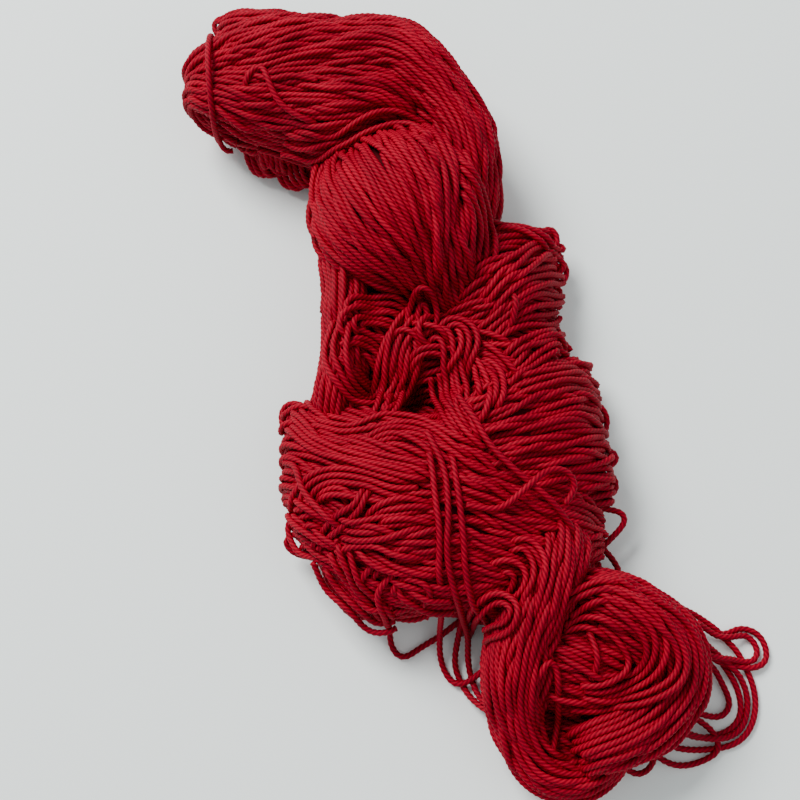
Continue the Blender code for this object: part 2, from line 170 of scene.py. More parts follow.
LOBES: dict[str, Lobe] = {
    "head_outer_roll": Lobe(Fold.HEAD_OUTER, (
        (-77, 124.5, 25, 6, 8.5), (-75, 125.5, 25, 8.5, 12), (-70.5, 126.5, 25, 11, 15.5),
        (-60, 128.5, 24.5, 16.5, 20.5), (-43, 130, 24.5, 19.5, 23.5), (-24, 129.5, 24.5, 17.5, 24.5),
        (-6, 131, 24.5, 17, 24.5), (4, 126, 24.5, 15.5, 24.5), (11, 118, 24.5, 14.5, 24.5),
        (18, 108, 24, 13.5, 24), (24, 96, 22, 13, 22.5), (26.5, 82, 19.5, 12, 20), (25, 69, 17, 11, 16),
        (19, 58, 15, 7, 9),
    ), wander=2.2, heave=1.0, turns=0.08, folded=Folded.FIRST, loops=0.0, reach=0.4, gather=1.0),
    "head_inner_roll": Lobe(Fold.HEAD_INNER, (
        (-77, 118, 24.5, 5.5, 8), (-75, 117.5, 24.5, 7.5, 11.5), (-70.5, 116.5, 24.5, 9.5, 14.5),
        (-63, 115.5, 24.5, 12.5, 18.5), (-55, 114.5, 24, 15.5, 21), (-40, 112.5, 23.5, 17, 23),
        (-24, 110.5, 24, 19.5, 24), (-8, 112, 23.5, 15.5, 22), (4, 108, 20, 11, 17), (11, 99, 15, 6, 8),
    ), wander=2.4, heave=1.1, turns=-0.06, folded=Folded.FIRST, loops=0.0, reach=0.4, gather=1.0),
    "second_twist": Lobe(Fold.TWIST, (
        (-4, 109, 10, 8, 6), (-5.5, 101, 12.5, 11.5, 10), (-7, 94, 16, 18.5, 15), (-7.5, 87, 20, 26, 20),
        (-4.5, 79.5, 24.5, 30.5, 25), (-0.5, 71, 28, 33, 29), (5, 61, 27, 30, 28), (11, 51, 24, 21.5, 23.5),
        (16, 42.5, 20, 14, 17), (21, 34, 16, 8, 11), (25, 26, 12, 5, 6),
    ), wander=3.6, heave=1.5, turns=-0.1),
    "left_column": Lobe(Fold.COLUMN, (
        (-18, 68, 14, 7, 9), (-21.5, 55, 15, 7.5, 14), (-19.5, 40, 17, 8.5, 17), (-19.5, 25, 18, 9, 18),
        (-20.5, 9, 18, 9.5, 18), (-24, -6, 16, 8, 13), (-26, -17, 14, 5, 7),
    ), cover=1.4, wander=2.4, heave=1.2),
    "loose_middle": Lobe(Fold.MIDDLE, (
        (-19, 23.5, 13, 13, 7), (-11, 25, 15, 22.5, 13), (4, 21.5, 15, 21.5, 14), (20, 17.5, 16, 19.5, 15),
        (36, 14, 17, 22, 16), (50, 11, 16, 18, 12), (58, 10, 13, 12, 7),
    ), cover=1.2, wander=6.0, heave=2.2),
    "right_fan": Lobe(Fold.FAN, (
        (12, 33, 15, 5, 7), (22, 37, 17, 13, 14), (35, 43, 18, 22, 17.5), (46, 44.5, 15, 24, 14),
        (53, 44, 13, 22.5, 10), (56.5, 43.8, 12, 20.5, 5),
    ), wander=3.8, heave=1.8, folded=Folded.LAST, loops=0.45),
    "right_fold": Lobe(Fold.RIGHT, (
        (4, -26, 15, 8, 8), (17, -22.5, 20, 18, 16), (34, -18, 22, 26, 22), (51, -15, 20, 28.5, 20),
        (62, -12.5, 16, 28.5, 15), (68, -11, 14, 28, 11), (71, -10.5, 13, 25.5, 5),
    ), wander=3.0, heave=1.4, folded=Folded.LAST, loops=0.4),
    "belly": Lobe(Fold.BELLY, (
        (-39, -16.5, 11, 14.5, 4.5), (-35, -16.5, 14, 19, 11), (-25, -21.5, 17, 25.5, 16),
        (-9, -32, 21, 35, 21), (10, -40, 23, 36, 23), (28, -45, 22, 32, 22), (45, -48, 20, 27, 19),
        (59, -50, 17, 20, 14), (68, -51, 15, 12, 7),
    ), wander=3.4, heave=1.6, folded=Folded.FIRST, loops=0.35),
    "belly_underfold": Lobe(Fold.UNDERFOLD, (
        (-28, -44, 12, 6, 7), (-21, -55.5, 13, 7, 11), (-12, -67, 13.5, 10, 12.5), (1, -70.5, 15, 8.5, 14),
        (16, -66, 17, 9, 15.5), (31, -68, 17, 12, 16), (44, -76, 16, 9, 10),
    ), cover=1.4, wander=3.4, heave=1.5),
    "tail_descent": Lobe(Fold.TAIL, (
        (55, -44, 22, 8, 12), (53, -58, 23, 11, 19), (47, -75, 21, 13, 20), (41, -92, 18, 12, 18.5),
        (38.5, -108, 15, 9.5, 15), (42, -120.5, 12, 9, 11.5), (50, -129, 10, 8.5, 9.5), (61, -131, 9, 7, 8.5),
        (71, -126, 9, 5.5, 8), (78, -118, 9, 4, 6),
    ), wander=2.6, heave=1.2, turns=0.12),
    "tail_turn": Lobe(Fold.TURN, (
        (60, -69, 19, 9, 12), (69, -73, 20, 12, 18), (79.5, -79, 19, 13, 18.5), (89.5, -87, 17, 13.5, 17),
        (93, -99, 16, 14.5, 16), (87, -110, 16, 12.5, 15), (77, -117, 17, 10.5, 13), (68, -120.5, 18, 9.5, 11),
        (63, -122.5, 17, 8.5, 7),
    ), wander=2.6, heave=1.2, turns=-0.08, folded=Folded.LAST, loops=0.2),
    "tail_heart": Lobe(Fold.TURN, (
        (46, -88, 15, 12, 10), (57, -91, 17, 18, 15), (70, -94, 16, 17, 14), (81, -96, 14, 10, 9),
    ), cover=1.4, wander=4.5, heave=1.8),
    "tail_hollow": Lobe(Fold.TURN, (
        (46, -112, 6, 6, 6), (56, -116, 6.5, 10, 7.5), (67, -119, 6.5, 10, 7.5), (76, -119, 6, 6, 6),
    ), cover=1.0, wander=2.0),
    "hanging_bunch": Lobe(Fold.BUNCHES, (
        (-47, 113, 15, 8, 9), (-48, 106, 14, 9, 11), (-48, 101, 13, 7, 8), (-47.5, 97.5, 12, 4, 4),
    ), cover=1.3, wander=3.0, heave=1.5, folded=Folded.LAST, loops=0.5),
    "bunch_behind": Lobe(Fold.BUNCHES, (
        (-26, 141, 20, 5, 9), (-36, 144, 20, 7, 11.5), (-47, 147, 19, 8, 12), (-57, 149, 18, 8.5, 11),
        (-64, 150, 17, 8, 9), (-68, 150.5, 16, 6.5, 5),
    ), cover=1.3, wander=3.0, heave=1.5, folded=Folded.LAST, loops=0.5),
}

# Single turns that stand clear of the lobes or cross over them: x, y, z along each, mm.
STRAYS: dict[str, Points] = {
    "fan_top_loop": ((44, 56, 20), (54, 67.5, 16), (58, 67, 16), (58.5, 62, 15), (55, 58, 15), (47, 52, 18)),
    "fan_side_loop": ((49, 55, 16), (58, 59, 14), (62.5, 54, 13), (61, 48, 12), (52, 48, 15)),
    "fold_low_loop": (
        (61, -38, 18), (71, -38.5, 15), (79, -40, 14), (80, -43.5, 13), (74, -50, 12), (66, -57, 13),
        (57, -60, 14),
    ),
    "neck_loop": ((66, -46, 12), (74, -54, 10), (77.5, -59, 9), (78, -64, 9), (76, -71, 11)),
    "belly_left_loop": (
        (-22, -48, 18), (-32, -47, 14), (-39, -48, 12), (-41, -50.5, 10), (-37, -54, 8.5), (-30, -55, 9),
        (-22, -52, 12),
    ),
    "belly_edge_loop": ((-31, -24, 18), (-38.5, -29, 14), (-41, -34, 11), (-38, -39.5, 10), (-31, -38, 12)),
    "floor_loop": (
        (-8, -72, 11), (-4, -79, 6), (-3, -86, 2.4), (1, -90, 1.5), (8, -86, 2), (15, -82, 4), (23, -76, 8),
    ),
    "crossing_strand_left": (
        (10, -26, 46.7), (12, -44, 47.5), (13, -55, 45.2), (13, -66, 39.2), (14.5, -74, 28.2), (14, -82, 10),
        (14.5, -91, 2.4), (18, -98, 1.5), (23, -99, 2.5), (30, -94, 7), (36, -89, 12),
    ),
    "crossing_strand_middle": (
        (9, -18, 45.2), (15, -33, 47.2), (16, -47, 47.2), (15.5, -58, 44.2), (17, -67, 38.2), (20, -75, 29.2),
        (23.5, -83, 13), (24, -91, 5), (25.5, -99, 3), (30, -107, 7), (37, -110, 10),
    ),
    "crossing_strand_right": (
        (16, -24, 42), (18, -30, 46.4), (20, -45, 47.2), (21, -55, 45.2), (22, -66, 40.2), (25, -75, 31.2),
        (31, -81, 22),
    ),
    "low_hanging_strand": (
        (22, -78, 12), (20, -86, 5), (19.5, -93, 2), (22, -100, 1.5), (27, -106, 4), (34, -110, 9),
    ),
    "small_double_loop_outer": (
        (95, -76, 12), (106, -79, 6), (115, -82, 3), (121, -79.5, 1.5), (127, -81, 1.5), (130, -86, 1.5),
        (129.5, -91.5, 1.5), (124, -93.5, 2.5), (114, -92, 5), (103, -88, 9),
    ),
    "wide_loop_outer": (
        (94, -72, 14), (105, -76, 8), (115, -83, 4), (121, -90, 2.5), (124.5, -99, 1.5), (125, -107, 1.5),
        (122.5, -114.5, 1.5), (117, -119.5, 1.5), (108, -121.5, 2), (96, -121, 4), (86, -116, 8),
    ),
    "wide_loop_middle": (
        (101, -83, 11), (110, -88, 6), (116, -95, 3.2), (119.5, -103, 1.7), (119, -111, 1.6), (113, -116, 1.6),
        (103, -117.5, 4), (92, -113, 9),
    ),
    "wide_loop_inner": (
        (101, -87, 11), (109, -92, 5.4), (113.5, -99, 2.7), (116, -106, 1.6), (112, -110.5, 2.2),
        (103, -109, 5.5), (94, -105, 10),
    ),
    "small_double_loop_inner": (
        (104.1, -78.7, 12), (112.1, -82.7, 6), (118.3, -82.8, 3.8), (123.2, -82, 2), (126.7, -85.5, 1.5),
        (126.6, -89.9, 1.5), (123.5, -91.7, 2.5), (118.8, -91.3, 4.5), (113, -90.8, 8), (106.5, -89.9, 12),
    ),
    "wide_loop_second": (
        (105.9, -86.3, 13), (113.2, -90.7, 7), (119.6, -96.3, 3.5), (122.2, -103.6, 1.8), (121.4, -110.5, 1.5),
        (118.6, -115.2, 1.5), (113.2, -117.7, 2.4), (105.7, -117.8, 5), (98.1, -116, 9),
    ),
    "low_loop": (
        (82, -116, 8), (90, -124.5, 4), (98, -127, 1.5), (106, -125, 1.5), (111, -121, 2.2), (109, -115.5, 3.4),
        (102, -110.5, 6), (94, -106, 9),
    ),
    "foot_loop": ((68, -118, 12), (77, -127, 6), (82, -130, 4), (87, -127, 4), (89, -118, 8)),
    "back_small_loop": ((-62, 151, 20), (-69, 156, 18), (-73, 156, 16), (-72, 151, 15), (-63, 148, 16)),
    "slanting_strand": (
        (20, -4, 40), (25, -14, 44.5), (31, -24, 46.3), (40, -33, 45.8), (50, -41, 43), (57, -49, 38),
        (62, -58, 30), (66, -65, 23),
    ),
    "hooked_strand": (
        (56, -42, 38), (59.5, -36, 39.5), (56, -31, 42), (49, -32, 44.4), (42, -38, 45.4), (33, -45, 45.7),
        (22, -44, 47),
    ),
    "low_curl_outer": (
        (34, -54, 41), (41, -55.5, 40), (46, -60, 41), (48, -68, 40), (46, -76, 39), (42, -84, 37),
    ),
}

# Strands that wander over the pile: the piece, then for each bundle how many lie side by side, and along it
# x, y and lift over the yarn below, mm. A bundle with x and y alone has the usual lift.
USUAL_LIFT = 0.8
SUNK_END = -2.5  # the usual lift at a bundle's ends, which pass under the pile's surface
WANDERERS: tuple[tuple[Fold, tuple[tuple[int, Points], ...]], ...] = (
    (Fold.COLUMN, (
        (3, ((-21, 25, -2), (-23, 14, 0.5), (-21, 5, 0.8), (-16, -1, 1), (-10, -1, 1), (-6, 4, 1.2),
            (-4, 12, 1.5), (-1, 20, 2), (5, 28, 1))),
    )),
    (Fold.MIDDLE, (
        (3, ((8, 32, 1), (2, 24, 2.5), (-2, 14, 2.5), (-3, 4, 1.5), (-4, -5, 1), (-8, -12, -1.5))),
        (3, ((-16, 20, -2), (-18, 23, 0.5), (-17, 26, 1), (-13, 28, 1.2), (-6, 28, 1), (0, 26, -2))),
        (3, ((-15, 28, -2), (-17, 31, 0.5), (-15, 32, 1.5), (-8, 33, 1.5), (-2, 33, 1.5), (4, 29, -1))),
        (2, ((-20, 14, -2), (-16, 16, 0.8), (-11, 15, 1), (-7, 11, 0.6), (-4, 8, -2))),
        (2, ((-19, 19, -2), (-14, 20, 0.8), (-8, 19, 0.8), (-3, 15, -2))),
        (2, ((-20, 12, -2), (-17, 8, 0.3), (-13, 5, 0.3), (-8, 4, -2))),
        (2, ((3.7, 23.4, 1), (4.4, 30.1, 4), (6.9, 34.4, 6), (9.9, 32.2, 5), (11.1, 26.2, 3), (10.1, 19.5, 0))),
        (1, ((4, 26.6, 1), (7.7, 23.3, 6), (12.4, 22.7, 6.5), (16.6, 20.3, 4), (18.2, 16.1, 1))),
        (1, ((13.2, 27.2, 1), (9.3, 26.6, 6), (6.5, 22.7, 7), (7.3, 17.7, 5), (10.8, 16.1, 1))),
        (1, ((16.2, 26.2, 0), (20.4, 22.3, 4), (21.4, 15.6, 4), (18.7, 9, 3), (16, 5.7, 0))),
        (2, ((12, 16, -1), (14, 21, 3), (18, 25, 5), (24, 23, 4), (26, 17, 3), (24, 9, 1.5), (21, 2, -2))),
        (2, ((2, 6, -1), (4, 11, 2), (8, 15, 3), (14, 15, 3), (19, 12, 2.5), (21, 3, 2), (22, -7, 1),
            (25, -15, -2))),
        (2, ((7, 14, 0), (9, 19, 2.5), (14, 21, 4), (17, 16, 3), (18, 7, 2.5), (19, -1, 1.5), (22, -11, -1))),
        (2, ((4, 23, 2), (5, 16, 2.5), (4, 10, 2), (1, 3, 1.5), (-3, -5, 1), (-7, -9, -1))),
        (2, ((24, 10, -2), (29, 9, 1), (34, 4, 1.2), (35, -2, 1.2), (33, -7, 1), (29, -10, -2))),
        (2, ((24, 6, -2), (28, 6, 1), (31, 1, 1.2), (32, -3, 1.2), (30, -7, 1), (26, -9, -2))),
        (3, ((26, 15, -2), (30, 13, 1), (34, 10, 1), (37, 6, 0.5), (39, 3, -2))),
    )),
    (Fold.FAN, (
        (1, ((35, 19, -2), (38, 25, 1), (40, 30, 1.2), (41, 35, 1), (38, 37, -2))),
    )),
    (Fold.MIDDLE, (
        (3, ((14, 7, 0), (16, -2, 1), (19, -11, 1), (23, -17, 0.8), (28, -24, -1))),
        (2, ((19, 17, -2), (25, 12, 1.5), (29, 5, 1.8), (30, -2, 1.5), (28, -9, 1), (24, -15, -2))),
        (1, ((-5, 17, -1), (-2, 22, 2.5), (4, 21, 3.5), (7, 15, 3), (5, 9, -1))),
        (2, ((20, 4, -1), (19, -5, 1.5), (20, -12, 1), (24, -20, -2))),
        (1, ((23, -6, -2), (24, -12, 1), (27, -17, 1), (28, -21, -1))),
    )),
    (Fold.FAN, (
        (2, ((33, 65, -2.5), (39, 65, 1.2), (46, 64, 1.5), (51, 61, 1.5), (55, 58, -2))),
        (3, ((29, 38), (36, 42), (44, 48), (50, 55), (56, 60))),
        (4, ((27, 27), (35, 34), (44, 42), (52, 47), (59, 51))),
        (3, ((28, 19), (35, 26), (43, 33), (52, 38), (59, 42))),
        (2, ((31, 17), (38, 23), (46, 27), (53, 29), (58, 34))),
        (2, ((35, 7), (41, 15), (48, 20), (54, 23), (58, 28))),
        (3, ((36, 3), (43, 8), (49, 15), (56, 20), (59, 17))),
    )),
    (Fold.RIGHT, (
        (3, ((33, -3), (44, 1), (55, 5), (63, 8), (68, 10))),
    )),
    (Fold.BELLY, (
        (4, ((-36, -11), (-28, -16), (-20, -19), (-12, -18.5), (-4, -16), (4, -15.5), (11, -18.5), (19, -24.5),
            (28, -29))),
        (3, ((-38, -7), (-31, -16), (-19, -23), (-5, -28), (8, -32), (20, -38), (32, -43), (48, -48))),
        (3, ((-14, -21), (-8, -20), (-2, -20), (7, -22), (14, -28), (25, -34), (40, -38))),
        (4, ((-37, -5, -2.5), (-32, -10, 0.5), (-26, -17, 0.8), (-15, -22, 0.8), (-3, -26, 0.8), (7, -29, 0.8),
            (15, -33, -2.5))),
        (1, ((-41, -23), (-36, -28), (-32, -36), (-27, -43), (-22, -48), (-15, -51), (-8, -51), (1, -51))),
        (4, ((-33, -43), (-31, -37), (-26, -34), (-20, -34), (-12, -36), (-3, -39), (6, -40))),
        (2, ((-27, -41), (-25, -38), (-22, -37), (-18, -39), (-17, -44))),
        (2, ((-29, -55, -2.5), (-25, -51, 1), (-19, -47, 2), (-14, -44, 2.5), (-12, -39, 2), (-9, -36, -2.5))),
        (3, ((-36, -45), (-29, -45), (-22, -49), (-15, -52), (-7, -51), (2, -50), (11, -48))),
        (3, ((-11, -51, -2.5), (-7, -47, 1.2), (2, -45, 1.2), (12, -46, -2.5))),
        (3, ((-21, -53), (-10, -53), (0, -57), (12, -56), (20, -54))),
    )),
    (Fold.UNDERFOLD, (
        (3, ((-26, -58), (-23, -66), (-16, -74), (-9, -79), (-2, -78))),
        (2, ((-19, -54), (-17, -61), (-14, -68), (-8, -75), (-3, -79))),
        (2, ((10, -58), (2, -59), (-5, -62), (-10, -66), (-13, -70))),
        (1, ((-2, -66, -2), (-7, -69, 1.5), (-8, -72, 1.5), (-5, -77, 1), (-3, -81, -2))),
        (2, ((0, -67), (1, -71), (6, -73), (12, -75), (18, -74))),
        (1, ((-2, -71, -1), (0, -66, 1), (6, -67, 1.5), (10, -71, 1), (7, -74, -1))),
    )),
    (Fold.TAIL, (
        (2, ((28, -66, -2), (35, -63, 2), (40, -66, 2.5), (38, -72, 1.5), (31, -74, -2))),
        (2, ((23, -82, -2), (26, -76, 2), (33, -73, 3), (38, -77, 3), (36, -83, 2), (29, -85, -2))),
        (2, ((36, -56, -2), (42, -55, 2), (46, -61, 1.5), (45, -70, 0.5), (43, -80, -2))),
    )),
    (Fold.TURN, (
        (1, ((44, -102, -2), (49, -94, 1), (53, -102, 1.5), (54, -111, 1), (51, -125, -2))),
        (3, ((69, -71, -2.5), (77, -78, 1), (83, -84, 1), (85, -91, 1), (82, -98, 1), (73, -102, 0.5),
            (61, -103, -2.5))),
        (2, ((71, -70), (82, -78), (90, -86), (94, -94), (91, -101), (82, -106), (70, -107), (58, -107))),
        (3, ((55, -76, -2.5), (61, -73, 1), (67, -71, 1), (73, -72, -2.5))),
        (1, ((62, -81, -2), (64, -88, 1.5), (66, -95, 1.5), (64, -100, -2))),
        (1, ((67, -82, -2), (73, -87, 1.5), (76, -92, 1.5), (75, -97, 1.2), (69, -101, 0.8), (61, -102, -2))),
        (2, ((54, -83, -2.5), (61, -81, 1), (69, -83, 1), (76, -88, -2.5))),
    )),
    (Fold.TWIST, (
        (4, ((4, 99, -3), (11, 89, 0.6), (18, 79, 0.8), (25, 70, 0.8), (29, 61, 0.8), (30, 53, 0.8),
            (29, 46, -2.5))),
    )),
    (Fold.HEAD_INNER, (
        (3, ((-43, 97, -5), (-35, 93.5, -1), (-27, 93, 0.8), (-20, 94, 1.5), (-14, 97, 1.5), (-8, 99, 1.5),
            (-2, 100, 1.5), (4, 99, 1.2), (10, 95, -2.5))),
        (1, ((-57, 111, -2), (-55.5, 115, 0.8), (-51, 119, 1.2), (-47, 113, 1), (-43, 105, 0.6), (-34, 99, 0.3),
            (-22, 97, -2))),
    )),
    (Fold.HEAD_OUTER, (
        (1, ((-55, 118, -2), (-47, 114, 1), (-40, 115, 1), (-30, 113, -2))),
    )),
)

# Hollows pressed into the pile: x, y, radius across, radius along, depth, mm.
HOLLOWS: Points = (
    (3.5, -2.5, 8.5, 12, 16), (11, -8, 8, 9.5, 14), (24, 2, 4.5, 8, 9), (-12.5, 6.5, 7, 6, 9),
)
HOLLOW_FADE = 30.0  # mm over the table, under which a hollow lowers a place less

# Stacks of loops, one inside the next: the piece, how many, the outermost loop and the innermost one, each as
# x, y, z along it, mm.
STACKS: tuple[tuple[Fold, int, Points, Points], ...] = (
    (Fold.BELLY, 4,
     ((-22, -9, 22), (-32, -4, 17), (-40, 0.5, 12), (-42.5, -0.5, 10), (-42, -6, 10), (-39, -14, 12)),
     ((-20, -14, 25), (-29, -10, 20), (-36, -6.5, 16), (-38.5, -8, 14), (-38, -12, 14), (-34, -19, 16))),
    (Fold.BUNCHES, 8,
     ((-56, 110, 17), (-59, 104, 13), (-57.5, 97.5, 8), (-54, 94.3, 5.5), (-50.5, 96, 7), (-49, 102, 11),
      (-48.5, 108, 15)),
     ((-46, 110, 22), (-47.5, 104, 19), (-46.5, 98.5, 14), (-43.5, 94.5, 10), (-40.5, 96, 10), (-39, 102, 14),
      (-39, 108, 18))),
    (Fold.BUNCHES, 5,
     ((-46, 106, 16), (-47.5, 99, 11), (-46, 92.5, 6), (-42, 89.5, 4.5), (-38, 91, 7), (-36, 98, 11),
      (-36, 106, 16)),
     ((-38, 106, 20), (-39, 99, 16), (-37.5, 93, 11), (-35, 90, 8), (-32, 92, 9), (-31, 99, 13),
      (-31, 106, 18))),
    (Fold.BUNCHES, 2,
     ((-38, 107, 22), (-47, 104, 21), (-54, 103, 19.5), (-58, 101.5, 17.5), (-57.5, 99.5, 16),
      (-53, 99.5, 17.5), (-47, 102, 19)),
     ((-38, 110, 22), (-47, 107, 21.5), (-53, 105.5, 21), (-56, 104, 20), (-55.5, 102, 18.5), (-52, 102, 19.5),
      (-47, 105, 20))),
    (Fold.BUNCHES, 5,
     ((-60, 143, 20), (-66, 146, 17), (-70.5, 149, 14), (-71, 152, 12), (-67.5, 153, 13), (-61, 150, 17)),
     ((-54, 144, 27), (-58, 147, 26), (-62, 150, 24), (-61.5, 152.5, 22), (-57, 152.5, 22), (-50, 149, 25))),
)


def unit(vectors: np.ndarray) -> np.ndarray:
    """Give vectors a length of 1."""
    return vectors / np.linalg.norm(vectors, axis=-1, keepdims=True)


def distance_along(path: np.ndarray) -> np.ndarray:
    """Add up the distance along a path, from 0 at its first point."""
    return np.concatenate([[0.0], np.cumsum(np.linalg.norm(np.diff(path, axis=0), axis=1))])


def first_of_each(sizes: np.ndarray) -> np.ndarray:
    """Find where each of several runs starts when they are stacked, and where the last one stops."""
    return np.concatenate([[0], np.cumsum(sizes)])


def smooth_rows(rows: Points | np.ndarray) -> np.ndarray:
    """Read rows from a Catmull-Rom curve through a table.

    Args:
        rows: The table, its first three columns a place in mm.

    Returns:
        The rows, about PATH_STEP apart along the curve.
    """
    table = np.array(rows, dtype=float)
    padded = np.vstack([2 * table[0] - table[1], table, 2 * table[-1] - table[-2]])
    out = [table[:1]]
    for index in range(len(table) - 1):
        before, start, end, after = padded[index:index + 4]
        count = max(1, round(float(np.linalg.norm((end - start)[:3])) / PATH_STEP))
        t = (np.arange(1, count + 1) / count)[:, None]
        out.append(0.5 * (2 * start + (end - before) * t
                          + (2 * before - 5 * start + 4 * end - after) * t ** 2
                          + (3 * start - before - 3 * end + after) * t ** 3))
    return np.vstack(out)


def section_frames(path: np.ndarray) -> tuple[np.ndarray, np.ndarray, np.ndarray]:
    """Find the forward, level side and upward unit vectors at each point of a path.

    Args:
        path: Points in mm, (n, 3).

    Returns:
        Forward, side and up, (n, 3) each.
    """
    forward = unit(np.gradient(path, axis=0))
    side = unit(np.cross(forward, UP))
    return forward, side, np.cross(side, forward)


def resample(points: np.ndarray, step: float = PATH_STEP) -> np.ndarray:
    """Read a path again at even distances.

    Args:
        points: The path, (n, 3).
        step: The distance wanted, mm.

    Returns:
        Points about `step` apart, the ends kept.
    """
    reach = distance_along(points)
    where = np.linspace(0.0, reach[-1], max(3, round(float(reach[-1]) / step) + 1))
    return np.stack([np.interp(where, reach, points[:, axis]) for axis in range(3)], axis=1)


def soften(values: np.ndarray, rounds: int = 1) -> np.ndarray:
    """Round off a path's corners: a quarter of each neighbour and half of itself, its ends kept.

    Args:
        values: One row for each point of the path.
        rounds: How many times.

    Returns:
        The softened rows.
    """
    out = values.copy()
    for _ in range(rounds):
        out[1:-1] = 0.25 * out[:-2] + 0.5 * out[1:-1] + 0.25 * out[2:]
    return out


def true_runs(flags: np.ndarray) -> tuple[np.ndarray, np.ndarray]:
    """Find the unbroken runs of true flags.

    Args:
        flags: True or false along a strand.

    Returns:
        Where each run starts, and where it stops.
    """
    edges = np.flatnonzero(np.diff(np.concatenate([[False], flags, [False]]).astype(int)))
    return edges[0::2], edges[1::2]


def level_turn(start: np.ndarray, stop: np.ndarray, outward: np.ndarray, reach: float) -> np.ndarray:
    """Turn from one place to another by way of a rounded loop.

    Args:
        start: Where the loop starts, mm.
        stop: Where it ends.
        outward: Unit vector to its far side.
        reach: How far out the loop's tip is, mm.

    Returns:
        The points between start and stop.
    """
    turn = np.linspace(0.0, math.pi, 11)[1:-1, None]
    return 0.5 * (start + stop) + 0.5 * np.cos(turn) * (start - stop) + np.sin(turn) * reach * outward


def press_hollows(points: np.ndarray) -> np.ndarray:
    """Lower places that lie in a hollow of the pile.

    Each hollow lowers a place by its depth times the square of one less the squared distance from its
    middle, that distance measured in its radii. Places near the table move less.

    Args:
        points: Places in mm, (n, 3).

    Returns:
        The places, lowered.
    """
    out = points.copy()
    for x, y, across, along, depth in HOLLOWS:
        away = ((points[:, 0] - x) / across) ** 2 + ((points[:, 1] - y) / along) ** 2
        out[:, 2] -= depth * np.clip(1.0 - away, 0.0, 1.0) ** 2 * np.clip(points[:, 2] / HOLLOW_FADE, 0.0, 1.0)
    return out


@dataclass(frozen=True)
class Waves:
    """Slanting waves over the yarn, so that neighbouring strands drift together.

    Attributes:
        count: How many are summed.
        shortest: Shortest wave, mm.
        longest: Longest wave, mm.
        weight: How much they count for.
        slant: The most a wave leans across the strands.
    """

    count: int
    shortest: float
    longest: float
    weight: float
    slant: float = 0.9

    def read(self, rng: np.random.Generator, across: np.ndarray, along: np.ndarray) -> np.ndarray:
        """Sum the waves.

        Args:
            rng: Source of their directions and phases.
            across: Place across the strands, mm.
            along: Place along the strands, mm.

        Returns:
            Heights between about minus and plus the weight.
        """
        total = np.zeros(np.broadcast(across, along).shape)
        for _ in range(self.count):
            length = rng.uniform(self.shortest, self.longest)
            slant = rng.uniform(-self.slant, self.slant)
            total += np.sin(math.tau * (along + slant * across) / length + rng.uniform(0.0, math.tau))
        return self.weight * (total / math.sqrt(self.count))


class LobeShape:
    """The surface of one lobe, read at stations along its path."""

    def __init__(self, lobe: Lobe) -> None:
        """Read the lobe's sections.

        Args:
            lobe: The lobe.
        """
        rows = smooth_rows(lobe.rows)
        self.centre = rows[:, :3]
        self.half_width = rows[:, 3]
        self.half_height = rows[:, 4]
        self.forward, self.side, self.up = section_frames(self.centre)
        self.along = distance_along(self.centre)

    def girth(self) -> np.ndarray:
        """Work out the distance round each section, mm."""
        a = self.half_width
        b = self.half_height
        return math.pi * (3 * (a + b) - np.sqrt((3 * a + b) * (a + 3 * b)))

    def place(self, stations: np.ndarray, offset: np.ndarray, rise: np.ndarray) -> np.ndarray:
        """Turn offsets in the sections into places: middle, plus offset to the side, plus rise upward.

        Args:
            stations: The stations.
            offset: Distance to the side of each section's middle, mm.
            rise: Distance above it, mm.

        Returns:
            Places in mm, (..., 3).
        """
        return (self.centre[stations] + offset[..., None] * self.side[stations]
                + rise[..., None] * self.up[stations])

    def rings(self, stations: np.ndarray, angle: np.ndarray, inset: float = 0.0) -> np.ndarray:
        """Read whole sections.

        A place is offset by the cosine of its angle times the half width less the inset, and rises by the
        sine times the half height less the inset.

        Args:
            stations: The stations.
            angle: Angles round a section, radians.
            inset: How far inside the surface, mm.

        Returns:
            Places in mm, (station, angle, 3).
        """
        stations = stations[:, None]
        wide = np.maximum(self.half_width[stations] - inset, THINNEST)
        high = np.maximum(self.half_height[stations] - inset, THINNEST)
        return self.place(stations, wide * np.cos(angle), high * np.sin(angle))

    def depth_of(self, points: np.ndarray) -> np.ndarray:
        """Find how far inside this lobe points are.

        The nearest station's ellipse is taken. Points past either end are outside.

        Args:
            points: Places in mm, (n, 3).

        Returns:
            Depth in mm, positive inside.
        """
        depth = np.full(len(points), OUTSIDE)
        reach = float(max(self.half_width.max(), self.half_height.max() * SAG)) + 2.0
        low = self.centre.min(axis=0) - reach
        high = self.centre.max(axis=0) + reach
        near = np.flatnonzero(((points > low) & (points < high)).all(axis=1))
        for part in np.array_split(near, max(1, len(near) // 4000 + 1)):
            offset = points[part, None, :] - self.centre[None, :, :]
            station = np.argmin((offset ** 2).sum(axis=2), axis=1)
            away = offset[np.arange(len(part)), station]
            ahead, across, above = ((away * axis[station]).sum(axis=1)
                                    for axis in (self.forward, self.side, self.up))
            above = np.where(above < 0.0, above / SAG, above)
            wide = self.half_width[station]
            tall = self.half_height[station]
            share = np.sqrt((across / wide) ** 2 + (above / tall) ** 2)
            at_end = (station == 0) | (station == len(self.centre) - 1)
            past_end = at_end & (np.abs(ahead) > PATH_STEP)
            depth[part] = np.where(past_end, OUTSIDE, (1.0 - share) * np.minimum(wide, tall))
        return depth


